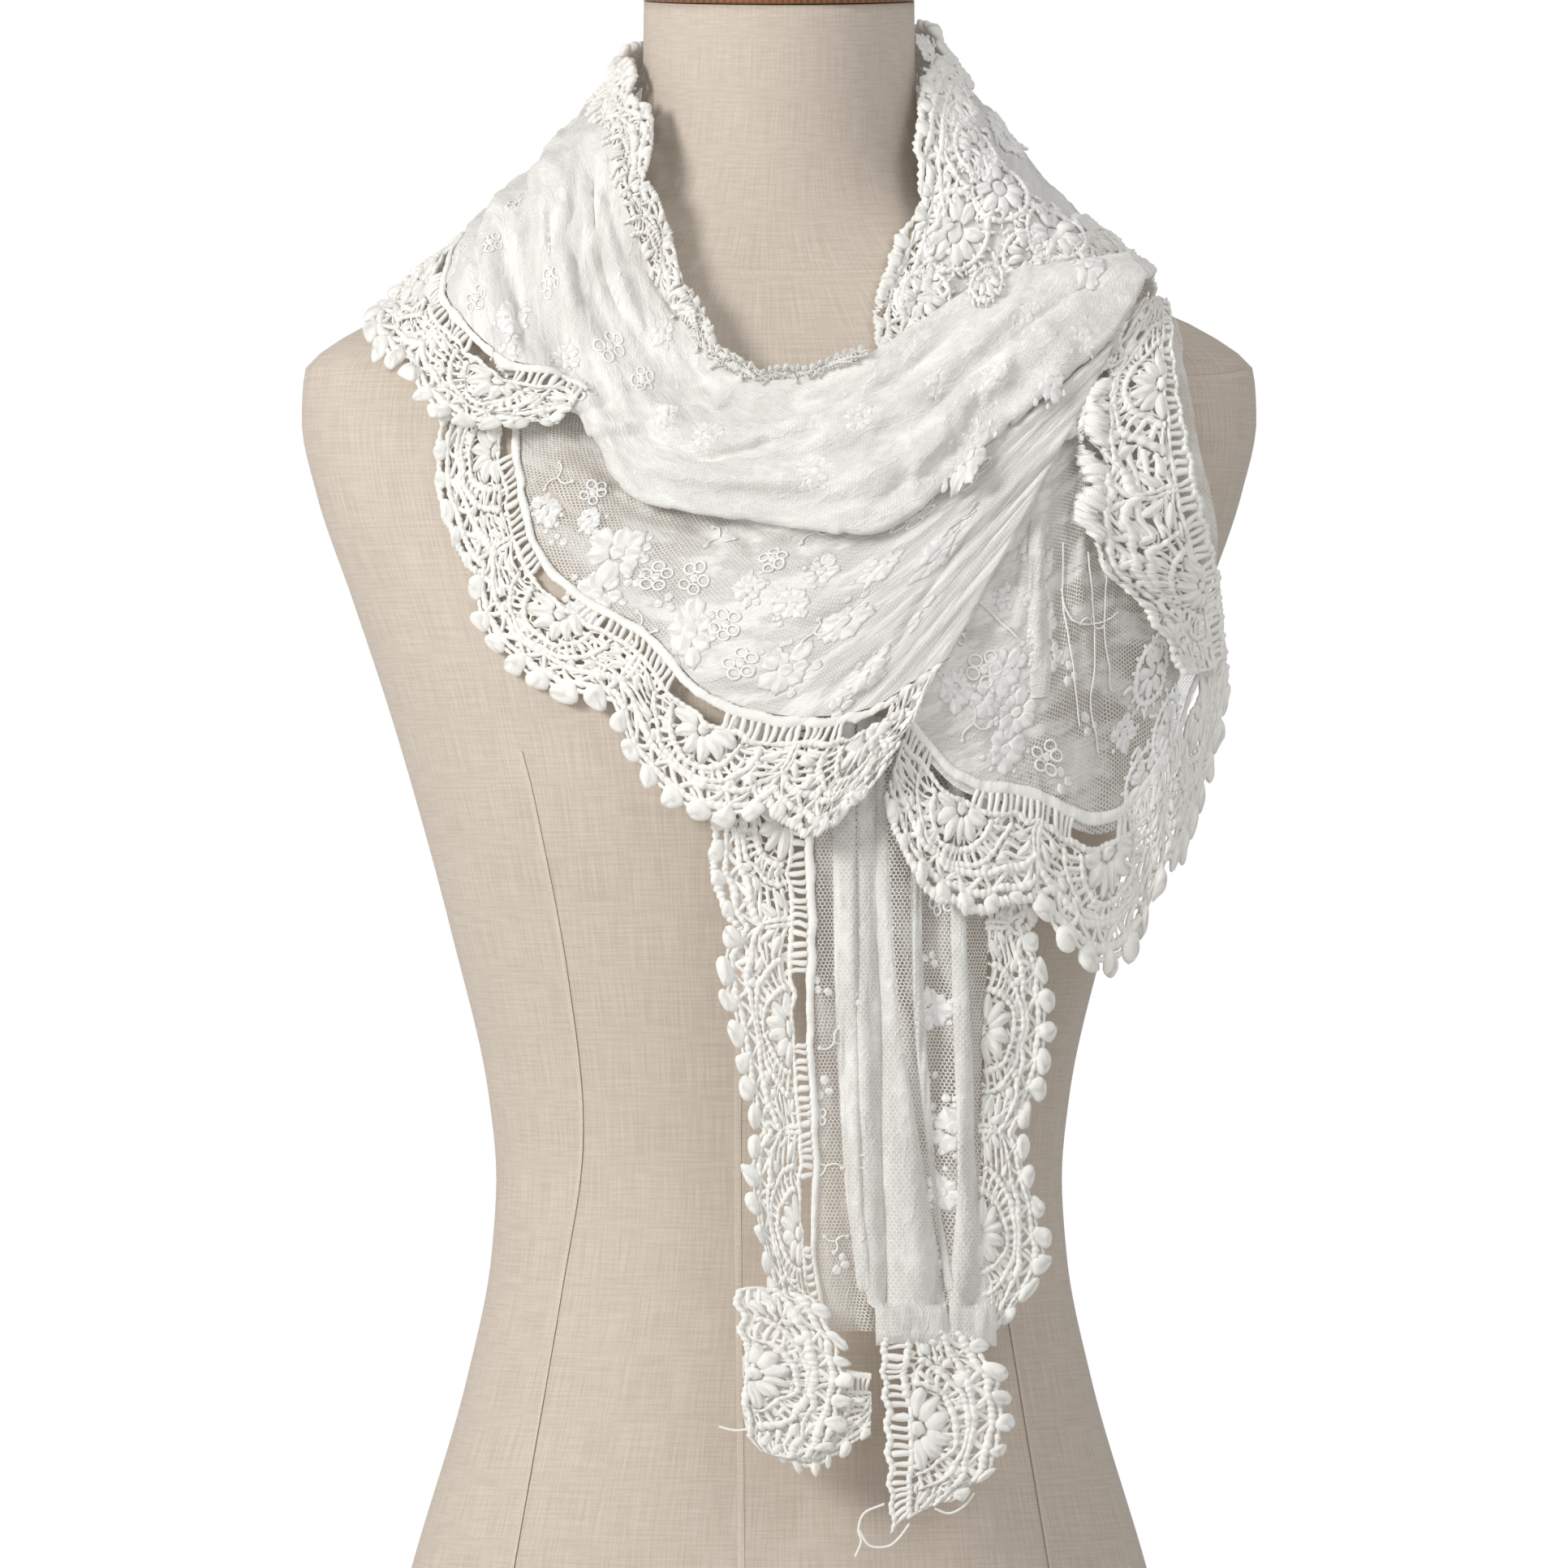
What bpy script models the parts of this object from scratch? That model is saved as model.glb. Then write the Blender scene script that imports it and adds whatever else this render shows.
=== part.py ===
"""A lace shawl wound round a limbless dress form.

The form is a smooth torso that stands on its own flat base, with a wooden cap on its neck. The shawl is one
long scarf of embroidered net with a crochet border all round. It lies behind the neck, its right end hangs
down the front as a tail, and its left end is swept across the chest to the right shoulder, where the cloth
folds back and drops. Each stretch that shows is a thin wall of its own, and so is each length of border.

Lengths are in millimetres until a mesh is made. +X is the viewer's right, the front faces -Y, +Z is up, and
the origin is the centre of the form's flat base.
"""

import math
from collections import namedtuple

import bmesh
import bpy
import numpy as np

for old in list(bpy.data.objects):
    bpy.data.objects.remove(old)

MM = 0.001

LINEN_COLOUR, LINEN_ROUGHNESS = (0.62, 0.53, 0.43), 0.9
WOOD_COLOUR, WOOD_ROUGHNESS = (0.36, 0.16, 0.06), 0.4
NET_COLOUR = (0.86, 0.85, 0.82)
LACE_COLOUR = (0.90, 0.89, 0.86)
CLOTH_ROUGHNESS = 0.85

# The dress form, a horizontal ring in each row: height, half width, depth to the front and to the back of
# its axis, how square the ring is, and how far the ring's plane tips forward.
Ring = namedtuple("Ring", "height half_width front back squareness tip")
FORM_RINGS = [
    Ring(0, 160, 100, 112, 2.3, 0),
    Ring(40, 162, 102, 117, 2.3, 0),
    Ring(90, 149, 100, 115, 2.3, 0),
    Ring(165, 127, 92, 99, 2.25, 0),
    Ring(215, 117, 87, 87, 2.2, 0),
    Ring(247, 115, 86, 83, 2.2, 0),
    Ring(280, 118, 91, 85, 2.2, 0),
    Ring(346, 133, 107, 94, 2.3, 0),
    Ring(409, 150, 121, 102, 2.35, 0),
    Ring(442, 160, 122, 104, 2.4, 0),
    Ring(481, 173, 112, 104, 2.5, 0),
    Ring(525, 188, 97, 100, 2.6, 0),
    Ring(555, 194, 86, 93, 2.6, 0),
    Ring(574, 193, 79, 87, 2.55, 0),
    Ring(589, 176, 71, 82, 2.5, 0),
    Ring(602, 148, 65, 77, 2.4, 0),
    Ring(616, 114, 60, 73, 2.2, 0),
    Ring(632, 83, 57, 69, 2.1, 0),
    Ring(648, 66, 56, 65, 2.0, 0),
    Ring(668, 58, 56, 62, 2.0, 0.02),
    Ring(694, 55.5, 57, 58, 2.0, 0.05),
    Ring(722, 55, 58, 57, 2.0, 0.08),
]
FORM_POINTS_ROUND = 36
CAP_POINTS_ROUND = 24
BASE_ROUNDING = 6.0

# The wooden cap on the neck.
CAP_THICKNESS = 20.0
CAP_OVERHANG = 1.5
CAP_EDGE_RADIUS = 6.0
CAP_EDGE_STEPS = 3
CAP_CROWN, CAP_CROWN_INSET = 3.0, 25.0

# Where the cloth hangs free below the bust it keeps the bust's depth instead of following the waist in.
Hang = namedtuple("Hang", "height half_width front back")
HANG_ROWS = [
    Hang(0, 165, 108, 118),
    Hang(105, 160, 112, 118),
    Hang(247, 158, 118, 112),
    Hang(346, 160, 121, 108),
    Hang(409, 161, 122, 105),
]
HANG_TOP, HANG_BLEND, HANG_SOFTNESS = 480.0, 110.0, 2.0

# Walls, and the gap that parts two pieces at a seam.
GAP = 0.5
NET_WALL = 1.2
LACE_WALL = 1.8
CORD_RISE = 1.4
EDGE_RISE = 1.0

# The crochet border. Each repeat is one scallop of clusters with a gap between each two of them. The rows
# are shares of the border's width, from its seam with the net out to its edge. A broad border has a cord,
# a row with a slit in it, a plain row, a row of gaps and an edge.
REPEAT = 72.0
CLUSTERS_PER_REPEAT = 5
GAP_SHARE = 0.56
SCALLOP_DEPTH, SCALLOP_FULLNESS, SCALLOP_START = 0.24, 0.7, 0.3
WHOLE = 0.999
LACE_ROWS = [0.0, 0.10, 0.25, 0.60, 0.83, 1.0]
SLIT_ROW, GAP_ROW = 1, 3
SLIT_CLUSTER, SLIT_CELLS = 1, 3
NARROW_ROWS = [0.0, 0.16, 0.55, 0.82, 1.0]
NARROW_GAP_ROW = 2
TRIM_ROWS = [0.0, 0.4, 1.0]

# How many cells of net there are from one border to the other.
RIGHT_FRONT_CELLS, BACK_CELLS, LEFT_FRONT_CELLS, COWL_CELLS = 4, 5, 9, 8
BIB_CELLS, DROP_CELLS, TAIL_CELLS = 5, 5, 10
COWL_FREE_CELLS = 9

# How far from a point the slope of a sheet is measured, and the slope of the body below it.
NORMAL_REACH = 2.0
BODY_REACH = 0.5

# Cloth is seated on the body in a few passes. It moves along Y where the body's normal has at least the
# second share of Y, and straight out where it has less than the first.
SEATING_PASSES = 6
SIDE_SHARE, FACE_SHARE = 0.3, 0.7
LEAST_LEAN = 0.35

# A fold fades out over one part in this many of its length at each end. One that goes less than the second
# size along its sheet is taken as running across it.
FOLD_FADE = 5.0
CROSSWISE_FOLD = 30.0

# How finely a sheet is searched for a place that is seen from the front.
SEARCH_STEPS = 60


def joined(knots, values, tangents, at):
    """The smooth curve through the values at the knots with the given tangents, read at the given places."""
    at = np.clip(at, knots[0], knots[-1])
    i = np.clip(np.searchsorted(knots, at, side="right") - 1, 0, len(knots) - 2)
    step = knots[i + 1] - knots[i]
    t = (at - knots[i]) / step
    start = values[i] * (1 + 2 * t) * (1 - t) ** 2 + tangents[i] * step * t * (1 - t) ** 2
    end = values[i + 1] * t * t * (3 - 2 * t) + tangents[i + 1] * step * t * t * (t - 1)
    return start + end


def eased(knots, values, at):
    """Values at the knots joined by a smooth curve that doesn't overshoot them."""
    knots, values = np.asarray(knots, float), np.asarray(values, float)
    if values.ndim > 1:
        return np.stack([eased(knots, column, at) for column in values.T], axis=-1)
    slope = np.diff(values) / np.diff(knots)
    before, after = slope[:-1], slope[1:]
    same_way = before * after > 0
    middle = np.where(same_way, 2 * before * after / np.where(same_way, before + after, 1), 0)
    return joined(knots, values, np.concatenate([slope[:1], middle, slope[-1:]]), at)


def flowing(knots, values, at):
    """Values at the knots joined by a curve that runs through them as a bent spline would."""
    knots, values = np.asarray(knots, float), np.asarray(values, float)
    if values.ndim > 1:
        return np.stack([flowing(knots, column, at) for column in values.T], axis=-1)
    step = np.diff(knots)
    slope = np.diff(values) / step
    middle = (slope[:-1] * step[1:] + slope[1:] * step[:-1]) / (step[:-1] + step[1:])
    return joined(knots, values, np.concatenate([slope[:1], middle, slope[-1:]]), at)


RING_HEIGHTS = [ring.height for ring in FORM_RINGS]
HANG_HEIGHTS = [row.height for row in HANG_ROWS]


def form_ring(height):
    """Half width, front, back and squareness of the form at a height."""
    columns = [(r.half_width, r.front, r.back, r.squareness) for r in FORM_RINGS]
    return eased(RING_HEIGHTS, columns, height)


def drape_ring(height):
    """The same for the body that the cloth lies on, which is the form with its waist softly filled."""
    ring = np.array(form_ring(height))
    hang = eased(HANG_HEIGHTS, [row[1:] for row in HANG_ROWS], height)
    t = np.clip((HANG_TOP - height) / HANG_BLEND, 0, 1)
    share = t * t * (3 - 2 * t)
    for i in range(3):
        extra = hang[..., i] - ring[..., i]
        ring[..., i] += share * 0.5 * (extra + np.sqrt(extra**2 + HANG_SOFTNESS**2))
    return ring


def level(points):
    """How far outside the drape body a point is, as a share of the body's size there."""
    ring = drape_ring(points[..., 2])
    depth = np.where(points[..., 1] < 0, ring[..., 1], ring[..., 2])
    power = ring[..., 3]
    across = np.abs(points[..., 0]) / ring[..., 0]
    through = np.abs(points[..., 1]) / depth
    return (across**power + through**power) ** (1 / power) - 1


def outward(points):
    """The direction away from the drape body at each point, and the distance to it."""
    slope = np.empty_like(points)
    for axis in range(3):
        step = np.zeros(3)
        step[axis] = BODY_REACH
        slope[..., axis] = (level(points + step) - level(points - step)) / (2 * BODY_REACH)
    size = np.maximum(np.linalg.norm(slope, axis=-1), 1e-6)
    return slope / size[..., None], level(points) / size


def seated(points, lift):
    """The points moved out until each is at least its lift clear of the drape body. Where the body faces the
    front or the back they move along Y, so that the cloth keeps its outline from the front."""
    points = np.array(points, float)
    for _ in range(SEATING_PASSES):
        normal, distance = outward(points)
        facing = np.clip((np.abs(normal[..., 1]) - SIDE_SHARE) / (FACE_SHARE - SIDE_SHARE), 0, 1)
        way = normal * np.stack([1 - facing, np.ones_like(facing), 1 - facing], axis=-1)
        way /= np.linalg.norm(way, axis=-1)[..., None]
        short = np.maximum(lift - distance, 0)
        points += way * (short / np.maximum((way * normal).sum(-1), LEAST_LEAN))[..., None]
    return points


def on_front(x, z):
    """The point on the front of the drape body that is seen at x, z."""
    half_width, front, _, power = drape_ring(np.array(float(z)))
    share = min(abs(x) / half_width, 1.0)
    return (x, -front * (1 - share**power) ** (1 / power), z)


# A section runs across a sheet of cloth, from one long edge to the other, through a middle point. lift is
# how far the sheet lies off the body. first_border and last_border are how wide the crochet borders are at
# the two edges.
Section = namedtuple("Section", "first middle last lift first_border last_border")

# A fold is a soft ridge from one place on a sheet to another: each place is (share of the sheet's length,
# share of its width).
Fold = namedtuple("Fold", "start end height half_width")

# From the hidden front end on the right, round the back of the neck, over the left shoulder and across the
# chest to the right shoulder. The first edge is the one at the neck.
NECK_SECTIONS = [
    Section(on_front(30, 583), on_front(70, 573), on_front(112, 566), 1.2, 26, 40),
    Section(on_front(42, 618), on_front(84, 604), on_front(134, 588), 1.2, 26, 40),
    Section((51, -40, 664), (98, -44, 636), (146, -30, 606), 1.2, 27, 42),
    Section((58, 4, 711), (104, 4, 656), (156, 6, 609), 1.2, 28, 44),
    Section((44, 48, 712), (92, 62, 646), (132, 79, 560), 1.2, 28, 44),
    Section((0, 66, 708), (0, 84, 630), (0, 104, 520), 1.2, 28, 46),
    Section((-44, 48, 708), (-92, 62, 645), (-132, 79, 558), 1.2, 28, 44),
    Section((-57, 4, 706), (-103, 4, 652), (-156, 6, 605), 2.0, 28, 40),
    Section((-50, -44, 678), (-102, -52, 630), on_front(-160, 568), 6.0, 27, 38),
    Section((-46, -62, 644), (-88, -66, 598), on_front(-128, 549), 9.0, 25, 34),
    Section(on_front(-36, 610), on_front(-66, 575), on_front(-92, 545), 9.5, 22, 28),
    Section(on_front(-18, 580), on_front(-40, 552), on_front(-55, 523), 11.0, 12, 0),
    Section(on_front(8, 575), on_front(2, 545), on_front(-4, 514), 14.0, 8, 0),
    Section(on_front(35, 582), on_front(38, 551), on_front(38, 510), 18.0, 6, 0),
    Section((76, -72, 605), on_front(80, 579), on_front(86, 548), 18.0, 0, 0),
    Section((106, -66, 616), (113, -66, 601), on_front(122, 578), 18.0, 0, 0),
    Section((137, -46, 616), (140, -48, 609), (144, -54, 599), 18.0, 0, 0),
]
RIGHT_FRONT, RIGHT_RIDGE, LEFT_RIDGE, COWL_START, COWL_TRIM_END = 0, 3, 7, 10, 13
NECK_FOLDS = [
    Fold((0.50, 0.28), (0.72, 0.52), 4.0, 11.0),
    Fold((0.51, 0.46), (0.77, 0.84), 4.5, 12.0),
    Fold((0.52, 0.64), (0.68, 0.72), 3.5, 10.0),
    Fold((0.66, 0.88), (1.04, 0.66), 4.0, 12.0),
    Fold((0.68, 0.58), (1.05, 0.36), 3.5, 12.0),
    Fold((0.22, 0.42), (0.49, 0.40), 4.0, 16.0),
    Fold((0.18, 0.64), (0.50, 0.62), 3.5, 14.0),
]

# The bib that shows below the swept stretch. The first edge is hidden under it.
BIB_SECTIONS = [
    Section(on_front(-82, 572), on_front(-110, 572), on_front(-139, 571), 0.8, 0, 38),
    Section(on_front(-70, 562), on_front(-106, 550), on_front(-139, 535), 0.8, 0, 40),
    Section(on_front(-58, 556), on_front(-98, 530), on_front(-133, 502), 0.8, 0, 42),
    Section(on_front(-42, 548), on_front(-86, 511), on_front(-126, 473), 0.8, 0, 44),
    Section(on_front(-26, 542), on_front(-66, 494), on_front(-103, 449), 0.8, 0, 45),
    Section(on_front(-6, 537), on_front(-42, 484), on_front(-76, 430), 1.6, 0, 46),
    Section(on_front(18, 536), on_front(-16, 470), on_front(-50, 401), 6.0, 0, 48),
    Section(on_front(48, 541), on_front(14, 466), on_front(-20, 386), 9.0, 0, 52),
    Section(on_front(86, 561), on_front(50, 480), on_front(5, 382), 12.0, 0, 53),
    Section((141, -50, 598), on_front(106, 530), on_front(34, 398), 14.5, 0, 46),
]
BIB_FOLDS = [
    Fold((0.20, 0.12), (1.10, 0.20), 3.0, 12.0),
    Fold((0.35, 0.36), (1.15, 0.44), 2.4, 12.0),
]

# The end that falls from the right shoulder. The first edge is at the shoulder.
DROP_SECTIONS = [
    Section(on_front(96, 560), on_front(66, 480), on_front(38, 388), 7.0, 0, 46),
    Section(on_front(112, 575), on_front(88, 475), on_front(58, 361), 7.0, 0, 50),
    Section(on_front(126, 586), on_front(110, 480), on_front(92, 347), 7.0, 0, 52),
    Section(on_front(136, 594), on_front(132, 480), on_front(131, 330), 7.0, 0, 56),
    Section((144, -46, 598), on_front(150, 490), (152, -72, 352), 7.0, 0, 54),
    Section((151, -45, 601), on_front(162, 505), (167, -54, 394), 7.0, 0, 50),
    Section((157, -43, 602), (172, -53, 520), (180, -32, 436), 7.0, 0, 46),
]
DROP_FOLDS = [
    Fold((0.22, 0.05), (0.18, 0.60), 2.0, 9.0),
    Fold((0.38, 0.05), (0.38, 0.62), 2.0, 10.0),
]

# A place on a sheet, as it is seen from the front.
Seen = namedtuple("Seen", "x z")

# The strip of border that lies over the drop, down its right side. The first edge is the left one.
SideStrip = namedtuple("SideStrip", "first last")
SIDE_STRIP_LIFT = 4.6
SIDE_STRIP_ROWS = [
    SideStrip(Seen(137, 594), Seen(154, 599)),
    SideStrip(Seen(119, 562), Seen(159, 566)),
    SideStrip(Seen(106, 526), Seen(166, 530)),
    SideStrip(Seen(119, 502), Seen(171, 506)),
    SideStrip(Seen(137, 482), Seen(174, 482)),
    SideStrip(Seen(147, 455), Seen(176, 458)),
]

# The tail, from its hidden top down. The first edge is the left one.
TAIL_SECTIONS = [
    Section(on_front(-26, 436), on_front(40, 434), on_front(103, 432), 0.1, 42, 26),
    Section(on_front(-29, 390), on_front(40, 390), on_front(106, 388), 0.8, 43, 26),
    Section(on_front(-31, 345), on_front(40, 346), on_front(108, 344), 0.8, 46, 26),
    Section(on_front(-18, 300), on_front(42, 302), on_front(109, 300), 0.8, 36, 26),
    Section(on_front(-17, 256), on_front(42, 256), on_front(103, 254), 0.8, 35, 22),
    Section(on_front(-7, 216), on_front(44, 216), on_front(108, 214), 0.8, 28, 26),
    Section(on_front(-5, 189), on_front(44, 189), on_front(93, 189), 0.8, 26, 14),
]
TAIL_FOLDS = [
    Fold((-0.30, 0.42), (1.30, 0.42), 2.2, 6.0),
    Fold((-0.30, 0.55), (1.30, 0.59), 3.6, 11.0),
    Fold((-0.30, 0.73), (1.30, 0.74), 2.6, 7.0),
]

# The two laps of border at the tail's end, seen from the front, each from its top down.
END_LEFT_SECTIONS = [
    Section(on_front(-18, 206), on_front(10, 204), on_front(37, 188), 4.4, 0, 0),
    Section(on_front(-15, 180), on_front(12, 176), on_front(37, 172), 4.4, 0, 0),
    Section(on_front(-14, 152), on_front(12, 150), on_front(37, 154), 4.4, 0, 0),
    Section(on_front(-4, 136), on_front(14, 131), on_front(37, 141), 4.4, 0, 0),
]
END_RIGHT_SECTIONS = [
    Section(on_front(38, 201), on_front(64, 201), on_front(93, 199), 6.0, 0, 0),
    Section(on_front(39, 165), on_front(66, 165), on_front(95, 163), 6.0, 0, 0),
    Section(on_front(41, 130), on_front(66, 132), on_front(91, 136), 6.0, 0, 0),
    Section(on_front(43, 106), on_front(62, 120), on_front(78, 114), 6.0, 0, 0),
]


class Sheet:
    """A sheet of cloth lofted through its sections. Places on it are s, in millimetres along it, and v, the
    share of the way from its first edge to its last."""

    def __init__(self, sections, folds=()):
        self.first, self.middle, self.last = (
            np.array([section[i] for section in sections], float) for i in range(3)
        )
        self.lift = np.array([section.lift for section in sections], float)
        self.first_border = np.array([section.first_border for section in sections], float)
        self.last_border = np.array([section.last_border for section in sections], float)
        travel = np.linalg.norm(np.diff(self.middle, axis=0), axis=1)
        outer_travel = np.linalg.norm(np.diff(self.last, axis=0), axis=1)
        self.at = np.concatenate([[0], np.cumsum((travel + outer_travel) / 2)])
        self.width = np.linalg.norm(self.middle - self.first, axis=1)
        self.width += np.linalg.norm(self.last - self.middle, axis=1)
        self.length = float(self.at[-1])
        self.folds = folds

    def border_share(self, s, border):
        return flowing(self.at, border / self.width, s)

    def share_of(self, s, v, distance):
        """The share of the width that a short distance across the sheet takes at s, v."""
        reach = NORMAL_REACH / eased(self.at, self.width, s)
        low, high = np.maximum(v - reach, 0), np.minimum(v + reach, 1)
        span = np.linalg.norm(self.points(s, high) - self.points(s, low), axis=-1)
        return distance * (high - low) / span

    def fold_height(self, s, v):
        """How far the folds stand proud of the sheet at s, v."""
        width = eased(self.at, self.width, s)
        raised = np.zeros(np.broadcast(s, v).shape)
        for fold in self.folds:
            start, end = fold.start[0] * self.length, fold.end[0] * self.length
            along = end - start
            if abs(along) > CROSSWISE_FOLD:
                t = (s - start) / along
                away = (v - fold.start[1] - (fold.end[1] - fold.start[1]) * np.clip(t, 0, 1)) * width
            else:
                t = (v - fold.start[1]) / (fold.end[1] - fold.start[1])
                away = s - start - along * np.clip(t, 0, 1)
            fade = np.clip(np.minimum(t, 1 - t) * FOLD_FADE, 0, 1)
            share = np.clip(np.abs(away) / fold.half_width, 0, 1)
            bump = 0.5 + 0.5 * np.cos(np.pi * share)
            raised = np.maximum(raised, fold.height * fade * bump)
        return raised

    def points(self, s, v):
        """Points of the sheet's inner face."""
        first, middle, last = (
            flowing(self.at, rail, s) for rail in (self.first, self.middle, self.last)
        )
        w = np.asarray(v)[..., None]
        flat = first * (1 - w) * (1 - 2 * w) + middle * 4 * w * (1 - w) + last * w * (2 * w - 1)
        placed = seated(flat, eased(self.at, self.lift, s))
        normal, _ = outward(placed)
        return placed + normal * self.fold_height(s, v)[..., None]

    def place_seen(self, seen):
        """The place s, v that is seen from the front at x, z."""
        steps = np.linspace(0, 1, SEARCH_STEPS)
        s, v = (grid.ravel() for grid in np.meshgrid(steps * self.length, steps))
        target = np.array([seen.x, seen.z], float)
        off = np.linalg.norm(self.points(s, v)[:, ::2] - target, axis=1)
        return s[off.argmin()], v[off.argmin()]

    def normals(self, s, v):
        """Unit normals of the sheet at s, v, turned away from the body."""
        v_reach = NORMAL_REACH / eased(self.at, self.width, s)
        along = self.points(np.minimum(s + NORMAL_REACH, self.length), v)
        along -= self.points(np.maximum(s - NORMAL_REACH, 0), v)
        across = self.points(s, np.minimum(v + v_reach, 1)) - self.points(s, np.maximum(v - v_reach, 0))
        normal = np.cross(along, across)
        normal /= np.maximum(np.linalg.norm(normal, axis=-1), 1e-9)[..., None]
        away, _ = outward(self.points(s, v))
        return normal * np.where((normal * away).sum(-1) < 0, -1, 1)[..., None]


class Patch:
    """A sheet that lies on another: its places are those of the sheet below, moved out by its lift."""

    def __init__(self, below, rows, lift):
        self.below, self.lift = below, lift
        self.first = np.array([below.place_seen(row.first) for row in rows])
        self.last = np.array([below.place_seen(row.last) for row in rows])
        ends = [below.points(rail[:, 0], rail[:, 1]) for rail in (self.first, self.last)]
        travel = [np.linalg.norm(np.diff(rail, axis=0), axis=1) for rail in ends]
        self.at = np.concatenate([[0], np.cumsum((travel[0] + travel[1]) / 2)])
        self.width = np.linalg.norm(ends[1] - ends[0], axis=1)
        self.length = float(self.at[-1])

    def border_share(self, s, border):
        return flowing(self.at, border / self.width, s)

    def share_of(self, s, v, distance):
        return distance / eased(self.at, self.width, s)

    def place_below(self, s, v):
        w = np.asarray(v)[..., None]
        place = eased(self.at, self.first, s) * (1 - w) + eased(self.at, self.last, s) * w
        return place[..., 0], place[..., 1]

    def points(self, s, v):
        place = self.place_below(s, v)
        return self.below.points(*place) + self.below.normals(*place) * self.lift

    def normals(self, s, v):
        return self.below.normals(*self.place_below(s, v))


def add_object(name, mesh_maker, colour, roughness):
    mesh = bpy.data.meshes.new(name)
    mesh_maker.to_mesh(mesh)
    mesh_maker.free()
    mesh.transform([[MM, 0, 0, 0], [0, MM, 0, 0], [0, 0, MM, 0], [0, 0, 0, 1]])
    obj = bpy.data.objects.new(name, mesh)
    material = bpy.data.materials.new(name)
    material.use_nodes = True
    shader = material.node_tree.nodes["Principled BSDF"]
    shader.inputs["Base Color"].default_value = (*colour, 1)
    shader.inputs["Roughness"].default_value = roughness
    shader.inputs["Metallic"].default_value = 0.0
    mesh.materials.append(material)
    bpy.context.scene.collection.objects.link(obj)
    return obj


def add_wall(name, sheet, s, v, thickness, colour, removed=()):
    """A thin closed wall on a grid of places on a sheet. removed lists the grid cells that are open."""
    s = np.broadcast_to(s, v.shape)
    inner = sheet.points(s, v)
    outer = inner + sheet.normals(s, v) * np.broadcast_to(thickness, v.shape)[..., None]
    rows, columns = inner.shape[:2]
    kept = np.ones((rows - 1, columns - 1), bool)
    for row, column in removed:
        kept[row, column] = False
    maker = bmesh.new()
    points = {}

    def corner(face, row, column):
        key = (face, row, column)
        if key not in points:
            points[key] = maker.verts.new((outer if face else inner)[row, column])
        return points[key]

    def is_kept(row, column):
        return 0 <= row < rows - 1 and 0 <= column < columns - 1 and kept[row, column]

    for row in range(rows - 1):
        for column in range(columns - 1):
            if not kept[row, column]:
                continue
            ring = [(row, column), (row + 1, column), (row + 1, column + 1), (row, column + 1)]
            maker.faces.new([corner(1, *place) for place in ring])
            maker.faces.new([corner(0, *place) for place in reversed(ring)])
            neighbours = [(row, column - 1), (row + 1, column), (row, column + 1), (row - 1, column)]
            for i, neighbour in enumerate(neighbours):
                if not is_kept(*neighbour):
                    a, b = ring[i], ring[(i + 1) % 4]
                    maker.faces.new([corner(0, *a), corner(0, *b), corner(1, *b), corner(1, *a)])
    bmesh.ops.recalc_face_normals(maker, faces=maker.faces)
    if maker.calc_volume(signed=True) < 0:
        bmesh.ops.reverse_faces(maker, faces=maker.faces)
    return add_object(name, maker, colour, CLOTH_ROUGHNESS)


def lace_columns(start, end):
    """Places along a border where its crochet clusters begin and end, and the number of repeats."""
    start, end = start + GAP / 2, end - GAP / 2
    repeats = max(1, round((end - start) / REPEAT))
    pitch = (end - start) / (repeats * CLUSTERS_PER_REPEAT)
    places = [start]
    for cluster in range(repeats * CLUSTERS_PER_REPEAT):
        middle = start + (cluster + 0.5) * pitch
        places += [middle - pitch * GAP_SHARE / 2, middle + pitch * GAP_SHARE / 2]
    return np.array(places + [end]), repeats


def net_wall(name, sheet, places, cells_across):
    """The net between a sheet's two borders, with a row of cells between each two places along it."""
    s = places[:, None]
    low = sheet.border_share(s, sheet.first_border)
    high = 1 - sheet.border_share(s, sheet.last_border)
    v = low + (high - low) * np.linspace(0, 1, cells_across + 1)[None, :]
    return add_wall(name, sheet, s, v, NET_WALL, NET_COLOUR)


def lace_wall(name, sheet, start, end, border, at_last_edge, rows=LACE_ROWS, cord=CORD_RISE):
    """A length of crochet border. Gaps over 4 mm are cut through: a gap between each two clusters near the
    edge and, in a broad border, a long slit beside the cord in each repeat."""
    s, repeats = lace_columns(start, end)
    phase = (s - s[0]) / (s[-1] - s[0]) * repeats
    scallop = 1 - SCALLOP_DEPTH * (1 - np.abs(np.sin(np.pi * phase)) ** SCALLOP_FULLNESS)
    share = sheet.border_share(s, border)
    seam_gap = sheet.share_of(s, 1 - share if at_last_edge else share, GAP)[:, None]
    share = share[:, None]
    across = np.array(rows)[None, :]
    reach = seam_gap + (share - seam_gap) * across * np.where(across > SCALLOP_START, scallop[:, None], 1)
    v = (1 - share + reach) if at_last_edge else (share - reach)
    thickness = np.full(v.shape, LACE_WALL)
    thickness[:, : SLIT_ROW + 1] += cord
    thickness[:, -1] += EDGE_RISE
    removed = []
    for cluster in range(repeats * CLUSTERS_PER_REPEAT):
        column = 2 * cluster + 1
        if rows is NARROW_ROWS:
            removed.append((column, NARROW_GAP_ROW))
        if rows is LACE_ROWS:
            removed.append((column, GAP_ROW))
            if cluster % CLUSTERS_PER_REPEAT == SLIT_CLUSTER:
                removed += [(column + i, SLIT_ROW) for i in range(SLIT_CELLS)]
    return add_wall(name, sheet, s[:, None], v, thickness, LACE_COLOUR, removed)


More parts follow.
